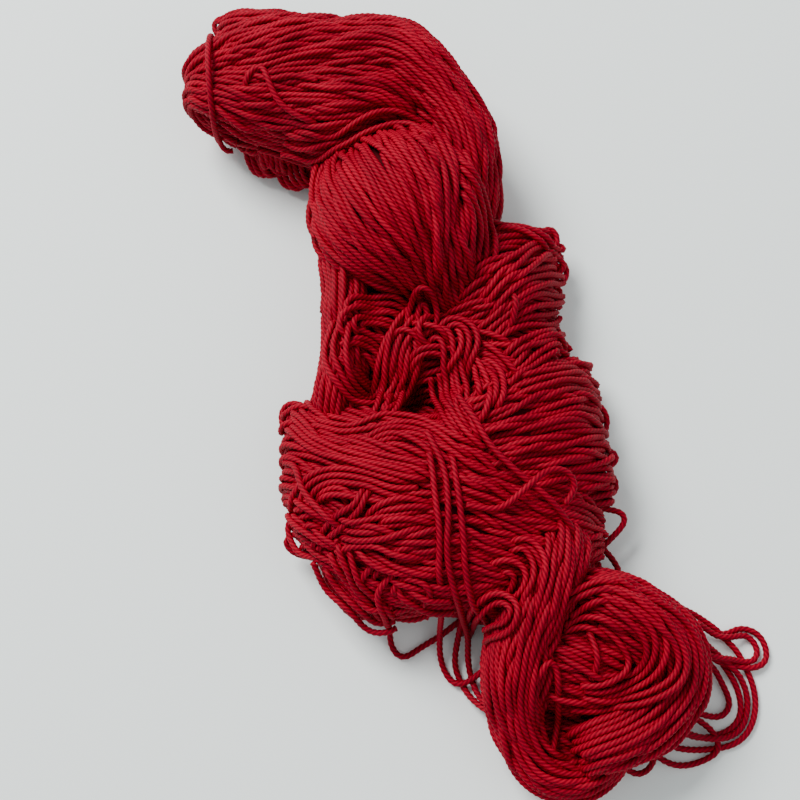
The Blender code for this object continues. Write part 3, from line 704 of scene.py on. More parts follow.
class LobeWinder:
    """Lays the strands of one lobe."""

    FOLD_SEARCH = 0.55  # share of a lobe's length from where its narrowing is looked for
    STILL_WIDE = 0.97  # share of the full width at which it starts
    UPPER = (-30.0, 210.0)  # degrees round a section that can be seen
    JITTER = 0.3  # share of the pitch that a strand may be off by
    GOLDEN = 0.618034  # spreads the ranks, so that neighbours sink in turn
    SHARED_DRIFT = Waves(4, 45.0, 120.0, 0.62)
    OWN_DRIFT = Waves(3, 30.0, 90.0, 0.5)
    OWN_HEAVE = Waves(3, 22.0, 60.0, 0.8)
    SHARED_HEAVE = Waves(3, 30.0, 80.0, 0.8)
    APART = 997.0  # mm between strands where waves are read for each on its own
    HEAVE_APART = 411.0  # mm from where their drift is read to where their heave is
    LAYER = 1.7  # yarn radii from one layer of strands to the next
    MOST_LAYERS = 3.2
    UNSEEN_LAYER = 2.0  # layers down, from where a strand doesn't show
    SHALLOWEST = 0.3  # mm, the least depth of a strand's middle
    NARROWEST = 0.8  # mm, the least half width that strands lie round
    UNDER_CUT = 9  # stations that a lower strand stops short of a folded end
    FEWEST = 5  # stations that a strand needs
    TONE_SPREAD = 0.07
    BACK = (8, 22)  # stations that a folded strand runs back underneath
    TURN_REACH = (0.3, 1.7)  # range of a turn's reach, as shares of the lobe's
    LOOP_REACH = (0.4, 2.2)  # the same for a loop on top
    WIDEST_LOOP = 18.0  # mm between the strands that a loop joins

    def __init__(self, lobe: Lobe, shape: LobeShape, seed: int) -> None:
        """Get the lobe ready.

        Args:
            lobe: The lobe.
            shape: Its surface.
            seed: Seed of this lobe's drift.
        """
        self.lobe = lobe
        self.shape = shape
        self.rng = np.random.default_rng(seed)
        self.folded = lobe.folded is not Folded.NEITHER
        self.at_end = lobe.folded is not Folded.FIRST
        self.order = slice(None) if self.at_end else slice(None, None, -1)
        self.outward = shape.forward[-1] if self.at_end else -shape.forward[0]
        width = shape.half_width[self.order]
        first = int(self.FOLD_SEARCH * len(width))
        wide = np.flatnonzero(width[first:] >= self.STILL_WIDE * width[first:].max())
        narrowing = first + int(wide[-1])
        self.fold_from = narrowing if self.at_end else len(width) - 1 - narrowing

    def _angles(self, station: int, pitch: float) -> np.ndarray:
        """Spread strands evenly round the part of a section that can be seen.

        Args:
            station: The station.
            pitch: Distance between strands, mm.

        Returns:
            Angles in radians, in order.
        """
        angle = np.radians(np.linspace(*self.UPPER, 600))
        wide = self.shape.half_width[station]
        high = self.shape.half_height[station]
        reach = distance_along(np.stack([wide * np.cos(angle), high * np.sin(angle)], axis=1))
        count = max(2, round(float(reach[-1]) / pitch))
        jitter = self.JITTER * self.rng.uniform(-1.0, 1.0, count)
        return np.interp((np.arange(count) + 0.5 + jitter) * reach[-1] / count, reach, angle)

    def wind(self) -> list[Strand]:
        """Lay every strand of the lobe.

        Returns:
            The strands, those inside the skein still whole.
        """
        shape = self.shape
        lobe = self.lobe
        rng = self.rng
        girth = shape.girth()
        widest = int(np.argmax(girth))
        pitch = 2 * YARN_RADIUS / lobe.cover
        angles = self._angles(widest, pitch)
        count = len(angles)
        rank = (self.GOLDEN * np.arange(count) + rng.uniform()) % 1.0
        across = np.arange(count)[:, None] * pitch
        own = np.arange(count)[:, None] * self.APART
        along = np.broadcast_to(shape.along, (count, len(shape.along)))
        drift = self.SHARED_DRIFT.read(rng, across, along) + self.OWN_DRIFT.read(rng, own, along)
        own += self.HEAVE_APART
        heave = self.OWN_HEAVE.read(rng, own, along) + self.SHARED_HEAVE.read(rng, across, along)
        radius = 0.5 * (shape.half_width + shape.half_height)
        turned = (angles[:, None] + math.tau * lobe.turns * (along / shape.along[-1] - 0.5)
                  + lobe.wander * drift / radius)
        crowd = rank[:, None] * lobe.cover * girth[widest] / girth - 1.0
        inset = YARN_RADIUS + self.LAYER * YARN_RADIUS * np.clip(crowd, 0.0, self.MOST_LAYERS)
        inset = np.maximum(inset - lobe.heave * heave, self.SHALLOWEST)
        return self._with_ends(turned, inset, crowd > self.UNSEEN_LAYER)

    def _with_ends(self, turned: np.ndarray, inset: np.ndarray, too_deep: np.ndarray) -> list[Strand]:
        """Give the strands their ends, folded over or run on.

        Args:
            turned: Angle of each strand at each station, radians.
            inset: Depth of each strand's middle below the lobe's surface, mm.
            too_deep: Where a strand lies too deep to be seen.

        Returns:
            The strands.
        """
        shape = self.shape
        wide = np.maximum(shape.half_width - inset, self.NARROWEST)
        high = np.maximum(shape.half_height - inset, self.NARROWEST)
        offset = wide * np.cos(turned)
        rise = high * np.sin(turned)
        if self.folded:
            part = slice(self.fold_from, None) if self.at_end else slice(0, self.fold_from + 1)
            kept = offset[:, self.fold_from][:, None]
            offset[:, part] = kept + self.lobe.gather * (offset[:, part] - kept)
            share = np.clip(1.0 - (offset[:, part] / wide[:, part]) ** 2, 0.0, 1.0)
            facing = np.where(rise[:, self.fold_from] < 0.0, -1.0, 1.0)[:, None]
            rise[:, part] = high[:, part] * np.sqrt(share) * facing
        rise = np.where(rise < 0.0, rise * SAG, rise)
        strands: list[Strand] = []
        spare: list[int] = []
        for index in range(len(turned)):
            starts, stops = true_runs(np.abs(offset[index]) < wide[index] * 0.999)
            longest = int(np.argmax(stops - starts))
            stations = np.arange(starts[longest], stops[longest])
            upper = rise[index, self.fold_from] > 0.0
            if self.folded and not upper:
                stations = stations[:-self.UNDER_CUT] if self.at_end else stations[self.UNDER_CUT:]
            if len(stations) < self.FEWEST:
                continue
            strand = Strand(shape.place(stations, offset[index, stations], rise[index, stations]),
                            self.lobe.fold, tone=1.0 + self.TONE_SPREAD * float(self.rng.normal()),
                            hidden=too_deep[index, stations])
            if self.folded and upper:
                if self.rng.uniform() < self.lobe.loops:
                    spare.append(len(strands))
                else:
                    self._fold_over(strand, stations, offset[index], rise[index])
            strands.append(strand)
        return self._join_pairs(strands, spare)

    def _fold_over(self, strand: Strand, stations: np.ndarray, offset: np.ndarray, rise: np.ndarray) -> None:
        """Carry a strand over the folded end and some way back underneath.

        Args:
            strand: The strand, so far its upper run.
            stations: The stations of that run.
            offset: Its side offset at every station, mm.
            rise: Its height at every station, mm.
        """
        back = int(self.rng.integers(*self.BACK))
        run = stations[-back:][::-1] if self.at_end else stations[:back]
        under = self.shape.place(run, offset[run], np.minimum(rise[run], -SAG * rise[run]))
        upper = strand.points[self.order]
        reach = self.lobe.reach * float(self.rng.uniform(*self.TURN_REACH))
        arc = level_turn(upper[-1], under[0], self.outward, reach)
        strand.points = np.vstack([upper, arc, under])
        shown = np.zeros(len(arc) + len(under), bool)
        strand.hidden = np.concatenate([strand.hidden[self.order], shown])

    def _join_pairs(self, strands: list[Strand], spare: list[int]) -> list[Strand]:
        """Join strands that turn back on top, two by two, with a loop past the end.

        Args:
            strands: All strands of the lobe, in order round it.
            spare: Which of them turn back on top.

        Returns:
            The strands, each joined pair as one.
        """
        gone: set[int] = set()
        joined: list[Strand] = []
        for first, second in zip(spare[0::2], spare[1::2], strict=False):
            left = strands[first]
            right = strands[second]
            near = left.points[self.order]
            far = right.points[self.order][::-1]
            if np.linalg.norm(near[-1] - far[0]) > self.WIDEST_LOOP:
                continue
            reach = self.lobe.reach * float(self.rng.uniform(*self.LOOP_REACH))
            arc = level_turn(near[-1], far[0], self.outward, reach)
            hidden = np.concatenate([left.hidden[self.order], np.zeros(len(arc), bool),
                                     right.hidden[self.order][::-1]])
            joined.append(Strand(np.vstack([near, arc, far]), left.fold, tone=left.tone, hidden=hidden))
            gone.update((first, second))
        return [strand for index, strand in enumerate(strands) if index not in gone] + joined


class Wanderers:
    """Bundles of strands that wander over the pile, side by side."""

    CELL = 1.5  # mm, of the grid of the pile's height
    LOW = (-130.0, -170.0)  # mm, the grid's corner
    CELLS = (200, 230)
    PITCH = 2.5  # yarn radii from one strand of a bundle to the next
    STRAY = Waves(2, 18.0, 45.0, 0.5)
    APART = 97.0  # mm between strands where waves are read for each on its own
    SOFTENING = 6
    TONE_SPREAD = 0.06
    HOLD = 0.05

    def __init__(self, shapes: dict[str, LobeShape], rng: np.random.Generator) -> None:
        """Map the pile's height from the top of every lobe, and fill missed cells from those around them.

        Args:
            shapes: The lobes' shapes by name.
            rng: Source of small differences.
        """
        self.rng = rng
        self.grid = np.zeros(self.CELLS)
        angle = np.radians(np.linspace(0.0, 180.0, 91))
        for shape in shapes.values():
            places = shape.rings(np.arange(len(shape.centre)), angle).reshape(-1, 3)
            np.maximum.at(self.grid, self._cell(places), places[:, 2])
        for _ in range(2):
            around = [np.roll(self.grid, shift, axis) for shift in (-1, 1) for axis in (0, 1)]
            self.grid = np.where(self.grid == 0.0, np.maximum.reduce(around), self.grid)

    def _cell(self, places: np.ndarray) -> tuple[np.ndarray, np.ndarray]:
        """Find the grid cell of each place.

        Args:
            places: Places in mm, (n, 3).

        Returns:
            Cell columns and rows.
        """
        cells = ((places[:, :2] - self.LOW) / self.CELL).astype(int)
        column, row = np.clip(cells, 0, np.array(self.CELLS) - 1).T
        return column, row

    def lay(self, fold: Fold, count: int, route: Points) -> list[Strand]:
        """Lay one bundle.

        Args:
            fold: The piece it belongs to.
            count: How many strands it has.
            route: x, y and lift at each point, mm, or x and y alone.

        Returns:
            The strands.
        """
        table = np.array(route, dtype=float)
        if table.shape[1] == 2:
            lift = np.full(len(table), USUAL_LIFT)
            lift[[0, -1]] = SUNK_END
            table = np.column_stack([table, lift])
        path = smooth_rows(table)
        flat = path * (1.0, 1.0, 0.0)
        side = section_frames(flat)[1]
        along = np.arange(len(path)) * PATH_STEP
        strands = []
        for index in range(count):
            shift = (index - 0.5 * (count - 1)) * self.PITCH * YARN_RADIUS
            own = np.full(len(path), index * self.APART)
            stray = self.STRAY.read(self.rng, own, along)
            places = flat + (shift + stray)[:, None] * side
            ground = self.grid[self._cell(places)]
            lift = np.where(ground > 0.0, ground, YARN_RADIUS) + path[:, 2]
            places[:, 2] = soften(lift, self.SOFTENING)
            tone = 1.0 + self.TONE_SPREAD * float(self.rng.normal())
            strands.append(Strand(resample(places), fold, self.HOLD, tone))
        return strands


@dataclass(frozen=True)
class Tie:
    """The strand that is tied round the head near its left end.

    Attributes:
        section: The head's section there: middle, half width and half height, mm.
        facing: Unit vector along the head.
        turn: Where the tie starts and ends round the section, degrees.
        clearance: How far it stands off the yarn it holds, mm.
        free_end: Places along its free end, mm.
    """

    section: tuple[float, ...] = (-70.5, 122.2, 24.4, 17.8, 18)
    facing: tuple[float, ...] = (0.998, 0.06, 0.0)
    turn: tuple[float, float] = (308.0, -32.0)
    clearance: float = 0.45
    free_end: Points = ((-69.3, 105.6, 11), (-68.2, 103.8, 9.4), (-66.4, 103, 8.8), (-64.8, 103.8, 9))

    def path(self) -> np.ndarray:
        """Find the tie's path: once round the head, then out to its free end.

        Returns:
            Points in mm, (n, 3).
        """
        x, y, z, half_width, half_height = self.section
        reach = YARN_RADIUS + self.clearance
        angle = np.radians(np.linspace(*self.turn, 60))
        below = np.where(np.sin(angle) < 0.0, SAG, 1.0)
        across = (half_width + reach) * np.cos(angle)
        above = (half_height * below + reach) * np.sin(angle)
        ring = np.array([x, y, z]) + across[:, None] * np.cross(self.facing, UP) + above[:, None] * np.array(UP)
        return np.vstack([ring, smooth_rows(np.vstack([ring[-1], self.free_end]))[1:]])


class Settler:
    """Pushes strands apart until neighbours only touch."""

    GAP = 2.22  # mm between neighbours' middles, slightly pressed together
    MARGIN = 0.6  # mm past the gap, within which pairs are watched
    REFRESH = 4  # rounds from one search for pairs to the next
    OWN_REACH = 5  # points along a strand that don't push each other
    EAGER = 1.5  # how far past the mean push a point goes
    FIXED = 0.9  # a strand held more firmly doesn't move
    FORWARD = tuple(
        (x, y, z) for x in (-1, 0, 1) for y in (-1, 0, 1) for z in (-1, 0, 1) if (x, y, z) >= (0, 0, 0)
    )

    def __init__(self, strands: list[Strand]) -> None:
        """Gather all points.

        Args:
            strands: The strands, their points PATH_STEP apart.
        """
        self.strands = strands
        sizes = np.array([len(strand.points) for strand in strands])
        self.starts = first_of_each(sizes)
        self.place = np.vstack([strand.points for strand in strands])
        self.home = self.place.copy()
        self.owner = np.repeat(np.arange(len(strands)), sizes)
        self.hold = np.repeat(np.array([strand.hold for strand in strands]), sizes)
        self.inner = np.ones(len(self.place), bool)
        self.inner[self.starts[:-1]] = False
        self.inner[self.starts[1:] - 1] = False

    def _pairs(self, reach: float) -> tuple[np.ndarray, np.ndarray]:
        """Find pairs of points within reach, by sorting them into cells.

        Args:
            reach: Distance in mm.

        Returns:
            First and second points of the pairs.
        """
        cell = np.floor(self.place / reach).astype(np.int64)
        cell -= cell.min(axis=0) - 2
        spans = cell.max(axis=0) + 3
        stride = np.array([spans[1] * spans[2], spans[2], 1])
        key = cell @ stride
        by_key = np.argsort(key, kind="stable")
        sorted_keys = key[by_key]
        found = []
        for step in self.FORWARD:
            wanted = key + int(np.dot(step, stride))
            begin = np.searchsorted(sorted_keys, wanted, "left")
            many = np.searchsorted(sorted_keys, wanted, "right") - begin
            first = np.repeat(np.arange(len(key)), many)
            offset = np.arange(int(many.sum())) - np.repeat(np.cumsum(many) - many, many)
            second = by_key[np.repeat(begin, many) + offset]
            good = second > first if step == (0, 0, 0) else second != first
            same = self.owner[first] == self.owner[second]
            good &= ~(same & (np.abs(first - second) < self.OWN_REACH))
            pair = np.stack([first[good], second[good]])
            gap = self.place[pair[0]] - self.place[pair[1]]
            found.append(pair[:, (gap ** 2).sum(axis=1) < reach ** 2])
        first, second = np.concatenate(found, axis=1)
        return first, second

    def settle(self, rounds: int) -> None:
        """Push the strands apart and hand their points back.

        Each round moves a point by the mean of its neighbours' pushes, eases it towards its home as firmly
        as its strand is held, and evens the moves out along the strand.

        Args:
            rounds: How many small moves to make.
        """
        total = len(self.place)
        free = (self.hold < self.FIXED)[:, None]
        middle = self.inner[1:-1]
        first = second = np.arange(0)
        moved = np.zeros_like(self.place)
        for round_number in range(rounds):
            if round_number % self.REFRESH == 0:
                first, second = self._pairs(self.GAP + self.MARGIN)
            gap = self.place[second] - self.place[first]
            distance = np.sqrt((gap ** 2).sum(axis=1)) + 1e-9
            push = np.clip(self.GAP - distance, 0.0, None) * 0.5
            step = gap * (push / distance)[:, None]
            count = np.ones(total)
            count += 0.5 * np.bincount(first, push > 0.0, total)
            count += 0.5 * np.bincount(second, push > 0.0, total)
            shift = np.stack([np.bincount(second, along, total) - np.bincount(first, along, total)
                              for along in step.T], axis=1)
            moved = moved * (1.0 - self.hold[:, None]) + self.EAGER * shift / count[:, None] * free
            moved[1:-1][middle] = soften(moved)[1:-1][middle]
            self.place = self.home + moved
            low = self.place[:, 2] < YARN_RADIUS
            moved[low, 2] += YARN_RADIUS - self.place[low, 2]
            self.place[low, 2] = YARN_RADIUS
        for strand, start, stop in zip(self.strands, self.starts, self.starts[1:], strict=False):
            strand.points = self.place[start:stop]


def tube_faces(starts: np.ndarray, rings: np.ndarray, sides: int, tips: int) -> tuple[np.ndarray, np.ndarray]:
    """List the faces of closed tubes, each ring's corners following the last ring's.

    Args:
        starts: First vertex of each tube.
        rings: How many rings each tube has.
        sides: Corners of a ring.
        tips: The first of the middle vertices, all the tubes' first ends and then all their last ones.

    Returns:
        Four-sided faces of the walls, and three-sided faces of the ends.
    """
    corner = np.arange(sides)
    following = (corner + 1) % sides
    before_last = [start + np.arange(count - 1) * sides for start, count in zip(starts, rings, strict=True)]
    ring = np.concatenate(before_last)[:, None]
    walls = np.stack([ring + corner, ring + following, ring + sides + following, ring + sides + corner], axis=2)
    tip = np.broadcast_to(tips + np.arange(2 * len(starts))[:, None], (2 * len(starts), sides))
    head = starts[:, None]
    foot = head + (rings[:, None] - 1) * sides
    near = np.stack([head + following, head + corner, tip[:len(starts)]], axis=2)
    far = np.stack([foot + corner, foot + following, tip[len(starts):]], axis=2)
    return walls.reshape(-1, 4), np.vstack([near, far]).reshape(-1, 3)


def new_piece(name: str, points: np.ndarray, faces: tuple[np.ndarray, np.ndarray],
              finish: bpy.types.Material) -> bpy.types.Object:
    """Make a smooth-shaded piece from arrays, in metres in the row frame.

    Args:
        name: Its name.
        points: Vertices, mm in the layout frame, (n, 3).
        faces: Four-sided faces and three-sided faces.
        finish: Its material.

    Returns:
        The piece.
    """
    mesh = bpy.data.meshes.new(name)
    placed = (points - np.array([*ORIGIN_IN_LAYOUT, 0.0])) * MM
    loops = np.concatenate([part.reshape(-1) for part in faces]).astype(np.int32)
    sizes = np.repeat([4, 3], [len(part) for part in faces])
    mesh.vertices.add(len(placed))
    mesh.vertices.foreach_set("co", placed.astype(np.float32).reshape(-1))
    mesh.loops.add(len(loops))
    mesh.loops.foreach_set("vertex_index", loops)
    mesh.polygons.add(len(sizes))
    mesh.polygons.foreach_set("loop_start", (np.cumsum(sizes) - sizes).astype(np.int32))
    mesh.polygons.foreach_set("use_smooth", np.ones(len(sizes), bool))
    mesh.update(calc_edges=True)
    mesh.validate()
    mesh.materials.append(finish)
    piece = bpy.data.objects.new(name, mesh)
    bpy.context.scene.collection.objects.link(piece)
    return piece


@dataclass(frozen=True)
class FourPly:
    """Turns strands into one mesh of four-ply yarn.

    Attributes:
        sides: Corners of a ring, two for each ply.
        ring_step: Distance between rings, mm.
        ply_drop: How much lower the groove between plies is than their crests, mm.
    """

    sides: int = 8
    ring_step: float = 1.02
    ply_drop: float = 0.25

    @staticmethod
    def _frames(paths: np.ndarray) -> tuple[np.ndarray, np.ndarray]:
        """Carry a frame along every path at once, without twist.

        Args:
            paths: Points, (strand, station, 3), short strands padded with their last point.

        Returns:
            First and second cross vectors, (strand, station, 3) each.
        """
        forward = np.gradient(paths, axis=1)
        forward[:, 0] = paths[:, 1] - paths[:, 0]
        size = np.linalg.norm(forward, axis=2, keepdims=True)
        stuck = size[..., 0] < 1e-6
        forward /= np.maximum(size, 1e-9)
        cross = np.zeros_like(paths)
        start = np.cross(forward[:, 0], UP)
        upright = np.linalg.norm(start, axis=1) < 0.05
        start[upright] = np.cross(forward[upright, 0], (1.0, 0.0, 0.0))
        cross[:, 0] = unit(start)
        for station in range(1, paths.shape[1]):
            still = stuck[:, station]
            forward[still, station] = forward[still, station - 1]
            ahead = forward[:, station]
            kept = cross[:, station - 1]
            kept = kept - (kept * ahead).sum(axis=1, keepdims=True) * ahead
            cross[:, station] = kept / np.maximum(np.linalg.norm(kept, axis=1, keepdims=True), 1e-9)
        return cross, np.cross(forward, cross)

    def build(self, name: str, strands: list[Strand], finish: bpy.types.Material) -> bpy.types.Object:
        """Make the mesh of some strands.

        Each ring alternates between the crests of the four plies and the grooves between them, and turns by
        half a ply from one ring to the next, so the edges of the mesh run along the plies.

        Args:
            name: The piece's name.
            strands: Its strands.
            finish: Its material.

        Returns:
            The piece.
        """
        paths = [resample(strand.points, self.ring_step) for strand in strands]
        rings = np.array([len(path) for path in paths])
        longest = int(rings.max())
        block = np.stack([path[np.minimum(np.arange(longest), len(path) - 1)] for path in paths])
        first, second = self._frames(block)
        corner = np.arange(self.sides)
        groove = (corner % 2).astype(float)
        reach = YARN_RADIUS - self.ply_drop * groove
        turn = math.tau / self.sides * (corner[None, :] - np.arange(longest)[:, None])
        outward = (np.cos(turn)[None, :, :, None] * first[:, :, None, :]
                   + np.sin(turn)[None, :, :, None] * second[:, :, None, :])
        vertices = block[:, :, None, :] + reach[None, None, :, None] * outward
        body = vertices[np.arange(longest)[None, :] < rings[:, None]].reshape(-1, 3)
        tips = np.vstack([block[:, 0], block[:, -1]])
        faces = tube_faces(first_of_each(rings)[:-1] * self.sides, rings, self.sides, len(body))
        piece = new_piece(name, np.vstack([body, tips]), faces, finish)
        tones = np.array([strand.tone for strand in strands])
        # The groove attribute is 1 in the grooves between plies, where the yarn's material paints shade.
        attributes = {
            "groove": np.concatenate([np.tile(groove, int(rings.sum())), np.zeros(len(tips))]),
            "tone": np.concatenate([np.repeat(tones, rings * self.sides), tones, tones]),
        }
        for label, values in attributes.items():
            layer = piece.data.attributes.new(label, "FLOAT", "POINT")
            layer.data.foreach_set("value", values.astype(np.float32))
        return piece


@dataclass(frozen=True)
class Core:
    """The yarn deep inside: a closed loft inside each lobe, its edge as LobeShape.rings gives it. It is
    coloured far darker than the yarn, as painted shade that shows in the gaps between strands.

    Attributes:
        inset: Distance from a lobe's surface, mm.
        sides: Corners of a section.
        stride: Stations from one section to the next.
        margin: Stations left out at either end of a lobe.
        lift: Height of its underside over the table, mm.
    """

    inset: float = 3.0
    sides: int = 28
    stride: int = 3
    margin: int = 2
    lift: float = 1.0

    def build(self, name: str, shapes: dict[str, LobeShape], finish: bpy.types.Material) -> bpy.types.Object:
        """Make the core.

        Args:
            name: Its name.
            shapes: The lobes' shapes by name.
            finish: Its material.

        Returns:
            The core.
        """
        angle = -math.tau * np.arange(self.sides) / self.sides
        lofts: list[np.ndarray] = []
        for shape in shapes.values():
            last = len(shape.centre) - 1 - self.margin
            stations = np.unique(np.append(np.arange(self.margin, last + 1, self.stride), last))
            loft = shape.rings(stations, angle, self.inset)
            loft[..., 2] = np.maximum(loft[..., 2], self.lift + 0.01 * np.cos(angle))
            lofts.append(press_hollows(loft.reshape(-1, 3)).reshape(loft.shape))
        rings = np.array([len(loft) for loft in lofts])
        body = np.vstack(lofts).reshape(-1, 3)
        tips = [loft[end].mean(axis=0) for end in (0, -1) for loft in lofts]
        faces = tube_faces(first_of_each(rings)[:-1] * self.sides, rings, self.sides, len(body))
        return new_piece(name, np.vstack([body, *tips]), faces, finish)


class Skein:
    """All the strands of the skein."""

    HIDE_DEPTH = 3.6  # mm inside another lobe, from where a strand is cut away
    SHORTEST = 9.0  # mm, a shorter showing run is left out
    FEWEST_SHOWING = 3  # points, and one with fewer in sight too
    TUCK = 3  # points that a showing run goes on for, out of sight
    FIRST_SEED = 101  # of the lobes
    STRAY_SEED = 7
    STRAY_HOLD = 0.12
    STRAY_TONE = 0.05  # spread of the tone
    STACK_HOLD = 0.06
    STACK_TONE = 0.06
    ROUNDS = 48  # of settling
    QUICK_ROUNDS = 8
    SOFTENING = 2  # rounds, of the settled strands

    def __init__(self) -> None:
        """Read the lobes' shapes."""
        self.shapes = {name: LobeShape(lobe) for name, lobe in LOBES.items()}

    def wind(self) -> list[Strand]:
        """Lay all the strands and let them settle.

        Returns:
            The settled strands.
        """
        laid: list[Strand] = []
        source: list[str] = []
        for seed, (name, lobe) in enumerate(LOBES.items(), self.FIRST_SEED):
            strands = LobeWinder(lobe, self.shapes[name], seed).wind()
            laid += strands
            source += [name] * len(strands)
        showing = self._prune(laid, source)
        for strand in showing:
            strand.points = press_hollows(strand.points)
        LOG.info("%d strands laid on the lobes, %d runs show", len(laid), len(showing))
        showing += self._loose_turns()
        showing.append(Strand(resample(Tie().path()), Fold.TIE, hold=1.0))
        Settler(showing).settle(self.ROUNDS)
        for strand in showing:
            strand.points = soften(strand.points, self.SOFTENING)
        return showing

    def _prune(self, strands: list[Strand], source: list[str]) -> list[Strand]:
        """Cut away the runs of strands that lie inside the skein.

        Args:
            strands: The strands.
            source: The lobe each strand was laid on.

        Returns:
            The showing runs, each with a short hidden end.
        """
        sizes = np.array([len(strand.points) for strand in strands])
        starts = first_of_each(sizes)
        place = np.vstack([strand.points for strand in strands])
        owner = np.repeat(np.array(source), sizes)
        inside = np.concatenate([strand.hidden for strand in strands])
        for name, shape in self.shapes.items():
            inside |= (shape.depth_of(place) > self.HIDE_DEPTH) & (owner != name)
        kept: list[Strand] = []
        for strand, start, stop in zip(strands, starts, starts[1:], strict=False):
            visible = ~inside[start:stop]
            showing = visible
            for _ in range(self.TUCK):
                showing = showing | np.append(showing[1:], False) | np.append(False, showing[:-1])
            for begin, end in zip(*true_runs(showing), strict=True):
                long_enough = (end - begin) * PATH_STEP >= self.SHORTEST
                if long_enough and visible[begin:end].sum() >= self.FEWEST_SHOWING:
                    run = resample(strand.points[begin:end])
                    kept.append(Strand(run, strand.fold, strand.hold, strand.tone))
        return kept

    def _loose_turns(self) -> list[Strand]:
        """Lay the stray turns, the stacks of loops and the strands that wander over the pile.

        Returns:
            The strands.
        """
        rng = np.random.default_rng(self.STRAY_SEED)
        turns: list[Strand] = []
        for rows in STRAYS.values():
            tone = 1.0 + self.STRAY_TONE * float(rng.normal())
            turns.append(Strand(resample(smooth_rows(rows)), Fold.STRAYS, self.STRAY_HOLD, tone))
        for fold, count, outer, inner in STACKS:
            for share in np.linspace(0.0, 1.0, count):
                table = (1.0 - share) * np.array(outer, float) + share * np.array(inner, float)
                tone = 1.0 + self.STACK_TONE * float(rng.normal())
                turns.append(Strand(resample(smooth_rows(table)), fold, self.STACK_HOLD, tone))
        wanderers = Wanderers(self.shapes, rng)
        for fold, bundles in WANDERERS:
            for count, route in bundles:
                turns += wanderers.lay(fold, count, route)
        return turns


class Materials:
    """Makes the finishes."""

    def __init__(self) -> None:
        """Make the effect that all the yarn shares."""
        self.dye = self._dye_and_groove_shade_group()

    @staticmethod
    def _node(tree: bpy.types.NodeTree, kind: str,
              **inputs: float | tuple[float, ...]) -> bpy.types.Node:
        """Add a shader node.

        Args:
            tree: The node tree.
            kind: The node's type, without its first word.
            **inputs: Values of its inputs, with _ for a space.

        Returns:
            The node.
        """
        node = tree.nodes.new("ShaderNode" + kind)
        for name, value in inputs.items():
            node.inputs[name.replace("_", " ")].default_value = value
        return node

    def _dye_and_groove_shade_group(self) -> bpy.types.NodeTree:
        """Make the effect that colours the yarn.

        The colour goes from the crest's to the darker groove colour with the groove attribute, which is painted
        shade in the grooves between plies, is made lighter or darker by the strand's own tone, and varies
        softly along the yarn. Fine noise stands for the fibres.

        Returns:
            The node group.
        """
        group = bpy.data.node_groups.new("cotton_dye_and_groove_shade", "ShaderNodeTree")
        for label, way, kind in (("Crest", "INPUT", "Color"), ("Groove", "INPUT", "Color"),
                                 ("Color", "OUTPUT", "Color"), ("Normal", "OUTPUT", "Vector")):
            group.interface.new_socket(label, in_out=way, socket_type="NodeSocket" + kind)
        source = group.nodes.new("NodeGroupInput")
        result = group.nodes.new("NodeGroupOutput")
        groove = self._node(group, "Attribute")
        groove.attribute_name = "groove"
        tone = self._node(group, "Attribute")
        tone.attribute_name = "tone"
        place = self._node(group, "TexCoord")
        blotch = self._node(group, "TexNoise", Scale=90.0, Detail=2.0)
        fibres = self._node(group, "TexNoise", Scale=2600.0, Detail=2.0, Roughness=0.6)
        # Painted shade: darken from the crest colour to the groove colour in the grooves between plies.
        mix = self._node(group, "Mix")
        mix.data_type = "RGBA"
        lighten = self._node(group, "MapRange", From_Min=0.3, From_Max=0.7, To_Min=0.86, To_Max=1.12)
        both = self._node(group, "Math")
        both.operation = "MULTIPLY"
        hue = self._node(group, "HueSaturation")
        bump = self._node(group, "Bump", Strength=0.35, Distance=0.00012)
        for giver, output, taker, socket in (
            (place, "Object", blotch, "Vector"), (place, "Object", fibres, "Vector"),
            (groove, "Fac", mix, "Factor"), (source, "Crest", mix, "A"), (source, "Groove", mix, "B"),
            (blotch, "Fac", lighten, "Value"), (lighten, "Result", both, 0), (tone, "Fac", both, 1),
            (both, 0, hue, "Value"), (mix, "Result", hue, "Color"), (fibres, "Fac", bump, "Height"),
            (hue, "Color", result, "Color"), (bump, "Normal", result, "Normal"),
        ):
            group.links.new(giver.outputs[output], taker.inputs[socket])
        return group

    def make(self, name: str, finish: Finish) -> bpy.types.Material:
        """Make a finish.

        Args:
            name: The material's name.
            finish: What it looks like.

        Returns:
            The material.
        """
        material = bpy.data.materials.new(name)
        material.use_nodes = True
        tree = material.node_tree
        tree.nodes.clear()
        colour = (*finish.colour, 1.0)
        shader = self._node(tree, "BsdfPrincipled", Base_Color=colour, Roughness=finish.roughness,
                            Specular_IOR_Level=finish.specular)
        output = self._node(tree, "OutputMaterial")
        tree.links.new(shader.outputs["BSDF"], output.inputs["Surface"])
        if finish.groove:
            # The dye group paints shade in the grooves between plies with the groove colour.
            dye = self._node(tree, "Group")
            dye.node_tree = self.dye
            dye.inputs["Crest"].default_value = colour
            dye.inputs["Groove"].default_value = (*finish.groove, 1.0)
            tree.links.new(dye.outputs["Color"], shader.inputs["Base Color"])
            tree.links.new(dye.outputs["Normal"], shader.inputs["Normal"])
        return material


